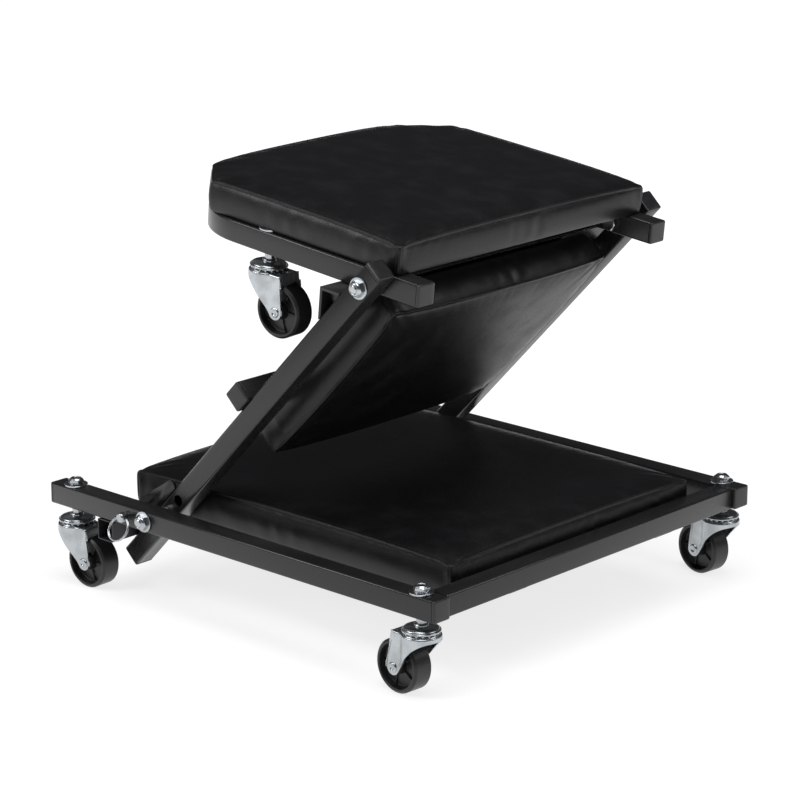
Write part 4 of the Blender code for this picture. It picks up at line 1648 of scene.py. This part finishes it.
@dataclass(frozen=True)
class Studio:
    """Camera, pale lit floor and soft lights."""

    azimuth: float = 42.76
    elevation: float = 16.33
    distance: float = 2.819
    target: tuple[float, float, float] = (0.0218, -0.0177, 0.1815)
    lens: float = 140.0
    sensor: float = 36.0
    sight: float = 100.0
    floor_radius: float = 30.0
    floor_grey: float = 0.3
    # Painted shadow: the floor glows dimmer near the creeper and brightens to far_glow between
    # glow_from and glow_to.
    near_glow: Colour = (0.79, 0.79, 0.79)
    far_glow: Colour = (1.0, 1.0, 1.0)
    glow_from: float = 0.3
    glow_to: float = 1.5
    room: Colour = (0.045, 0.046, 0.048)
    lights: tuple[SoftLight, ...] = (
        SoftLight("overhead", 60.0, 78.0, 2.6, 1.8, 52.0),
        SoftLight("left_soft", -35.0, 34.0, 2.6, 1.2, 25.0),
        SoftLight("right_soft", 120.0, 35.0, 2.8, 1.2, 13.0),
    )

    def direction(self, azimuth: float, elevation: float) -> Array:
        """The unit vector that points from the object to an azimuth and elevation in degrees."""
        turn, lift = math.radians(azimuth), math.radians(elevation)
        level = math.cos(lift)
        return np.array([math.sin(turn) * level, -math.cos(turn) * level, math.sin(lift)])

    def aim(
        self, holder: bpy.types.Object, azimuth: float, elevation: float, distance: float
    ) -> None:
        """Put a camera or light round the target and turn it there."""
        away = self.direction(azimuth, elevation)
        side = unit(np.cross(UPWARD, away))
        matrix = axes(np.array(self.target) + away * distance, side, away)
        holder.matrix_world = Matrix(matrix.tolist())

    def camera(self) -> None:
        """The camera, a long lens with no blur."""
        data = bpy.data.cameras.new("camera")
        data.lens = self.lens
        data.sensor_width = self.sensor
        data.clip_end = self.sight
        holder = linked("camera", data)
        self.aim(holder, self.azimuth, self.elevation, self.distance)
        bpy.context.scene.camera = holder

    def floor(self) -> None:
        """A round pale floor that glows a little, like a lit table, so shadows stay light; its glow
        is dimmer within 1.5 m of the middle, a painted soft shadow round the creeper.
        """
        angle = np.linspace(0, math.tau, 64, endpoint=False)
        rings = np.array([0.001, 1.0, 4.0, self.floor_radius])
        grid = np.stack(
            [np.outer(rings, np.cos(angle)), np.outer(rings, np.sin(angle)), np.zeros((4, 64))], -1
        )
        shell = lattice(grid, loop_cols=True)
        mesh = meshed("floor", shell.points, shell.faces)
        recipe = Recipe("floor", {
            "Roughness": 0.9,
            "Specular IOR Level": 0.0,
            "Base Color": (self.floor_grey, self.floor_grey, self.floor_grey, 1.0),
            "Emission Strength": 1.0,
        })
        reach = recipe.node(
            "ShaderNodeVectorMath", {"operation": "LENGTH"}, {0: recipe.place()}, output="Value"
        )
        # Painted shadow: the glow rises from near_glow near the middle to far_glow further out.
        share = reach.step(self.glow_from, self.glow_to)
        recipe.feed(Emission_Color=recipe.blend(share, self.near_glow, self.far_glow))
        mesh.materials.append(recipe.material)
        linked("floor", mesh)

    def light(self, soft: SoftLight) -> None:
        """Hang a soft light."""
        data = bpy.data.lights.new(soft.name, "AREA")
        data.shape = "SQUARE"
        data.size = soft.size
        data.energy = soft.power
        self.aim(linked(soft.name, data), soft.azimuth, soft.elevation, soft.distance)

    def sky(self) -> None:
        """A dim room for reflections and a white one for the camera."""
        world = bpy.data.worlds.new("room")
        world.use_nodes = True
        bpy.context.scene.world = world
        tree = world.node_tree
        room = tree.nodes["Background"]
        room.inputs["Color"].default_value = (*self.room, 1.0)
        white = tree.nodes.new("ShaderNodeBackground")
        white.inputs["Color"].default_value = (1.0, 1.0, 1.0, 1.0)
        path = tree.nodes.new("ShaderNodeLightPath")
        mix = tree.nodes.new("ShaderNodeMixShader")
        tree.links.new(path.outputs["Is Camera Ray"], mix.inputs["Fac"])
        tree.links.new(room.outputs[0], mix.inputs[1])
        tree.links.new(white.outputs[0], mix.inputs[2])
        tree.links.new(mix.outputs[0], tree.nodes["World Output"].inputs["Surface"])

    def build(self) -> None:
        """Set the whole studio up."""
        bpy.context.scene.view_settings.view_transform = "Standard"
        self.camera()
        self.floor()
        self.sky()
        for soft in self.lights:
            self.light(soft)


# ---------------------------------------------------------------- the creeper


@dataclass(frozen=True)
class Creeper:
    """The whole creeper: its tubes, caps, pressed parts, fasteners, casters and pads."""

    finishes: Finishes = Finishes()
    latch_hole: float = 5.2 * MM
    latch_drill: float = 12 * MM
    lock_radius: float = 23.3 * MM

    def tubes(self, base: Section, middle: Section, seat: Section) -> None:
        """All the square tube, and the latch hole low on the right middle rail."""
        paint = self.finishes.paint
        for node in ("base_rail_right", "base_rail_left", "base_front_rail", "base_under_tube"):
            SquareTube(base, node).build(paint)
        for node in ("middle_rail_left", "middle_cross_tube"):
            SquareTube(middle, node).build(paint)
        rail = SquareTube(middle, "middle_rail_right").build(paint)
        low, _ = middle.extent("middle_rail_right")
        hole = middle.origin + middle.along * self.lock_radius
        hole[1] = low[1] + middle.origin[1]
        bore(rail, hole, LEFTWARD, self.latch_hole, self.latch_drill)
        SquareTube(seat, "seat_frame").build(paint, bent=True)

    def caps(self, base: Section, middle: Section, seat: Section) -> None:
        """The plugs in every tube's end."""
        for side in Side:
            for section, stem in (
                (base, "base_cap_front"), (base, "base_cap_rear"), (middle, "middle_cap_foot"),
                (middle, "middle_cap_top"), (middle, "cross_cap"), (seat, "seat_cap"),
            ):
                EndCap(section, f"{stem}_{side.word}").build(self.finishes.caps)

    def hinges(self, base: Section, middle: Section, seat: Section) -> None:
        """Lower hinge bolts on the base and upper ones on the middle section."""
        zinc = self.finishes.zinc
        for side in Side:
            lower, upper, base_rail, middle_rail = (
                f"{stem}_{side.word}"
                for stem in ("lower_hinge_bolt", "upper_hinge_bolt", "base_rail", "middle_rail")
            )
            HingeBolt(base, lower, side, middle_rail, base_rail).build(zinc, base.origin)
            HingeBolt(middle, upper, side, "seat_frame", middle_rail).build(zinc, seat.origin)

    def pressings(self) -> None:
        """The angle bar, the lock plate and the two tabs under the base board; the boards stay."""
        for node, body in (
            ("seat_stop_angle", "middle"),
            ("lock_plate", "middle"),
            ("pad_tab_right", "base"),
            ("pad_tab_left", "base"),
        ):
            softened(node, self.finishes.paint, body, PRESSED_EDGE)
        for node in ("base_board", "middle_board", "seat_board"):
            board = frame["nodes"][node]
            board.data.materials.clear()
            board.data.materials.append(self.finishes.plywood.material())

    def build(self) -> None:
        """Make every piece in order."""
        base, middle, seat = Section.all()
        LOG.info("tubes and caps")
        self.tubes(base, middle, seat)
        self.caps(base, middle, seat)
        self.pressings()
        LOG.info("hinges, lock pin and casters")
        self.hinges(base, middle, seat)
        LockPin().build(self.finishes.zinc)
        for place, holder in (("front", "base"), ("rear", "base"), ("seat", "seat")):
            for side in Side:
                Caster(f"{place}_{side.word}", holder).build(self.finishes)
        LOG.info("pads")
        Cushion(base, "base_pad", "base_board").build(self.finishes.leather)
        Cushion(middle, "middle_pad", "middle_board", up=-1).build(self.finishes.leather)
        Cushion(seat, "seat_pad", "seat_board", chamfer=44 * MM).build(self.finishes.leather)


def main() -> None:
    """Build the studio and the creeper."""
    logging.basicConfig(level=logging.INFO, format="%(message)s")
    Studio().build()
    Creeper().build()


if __name__ == "__main__":
    main()
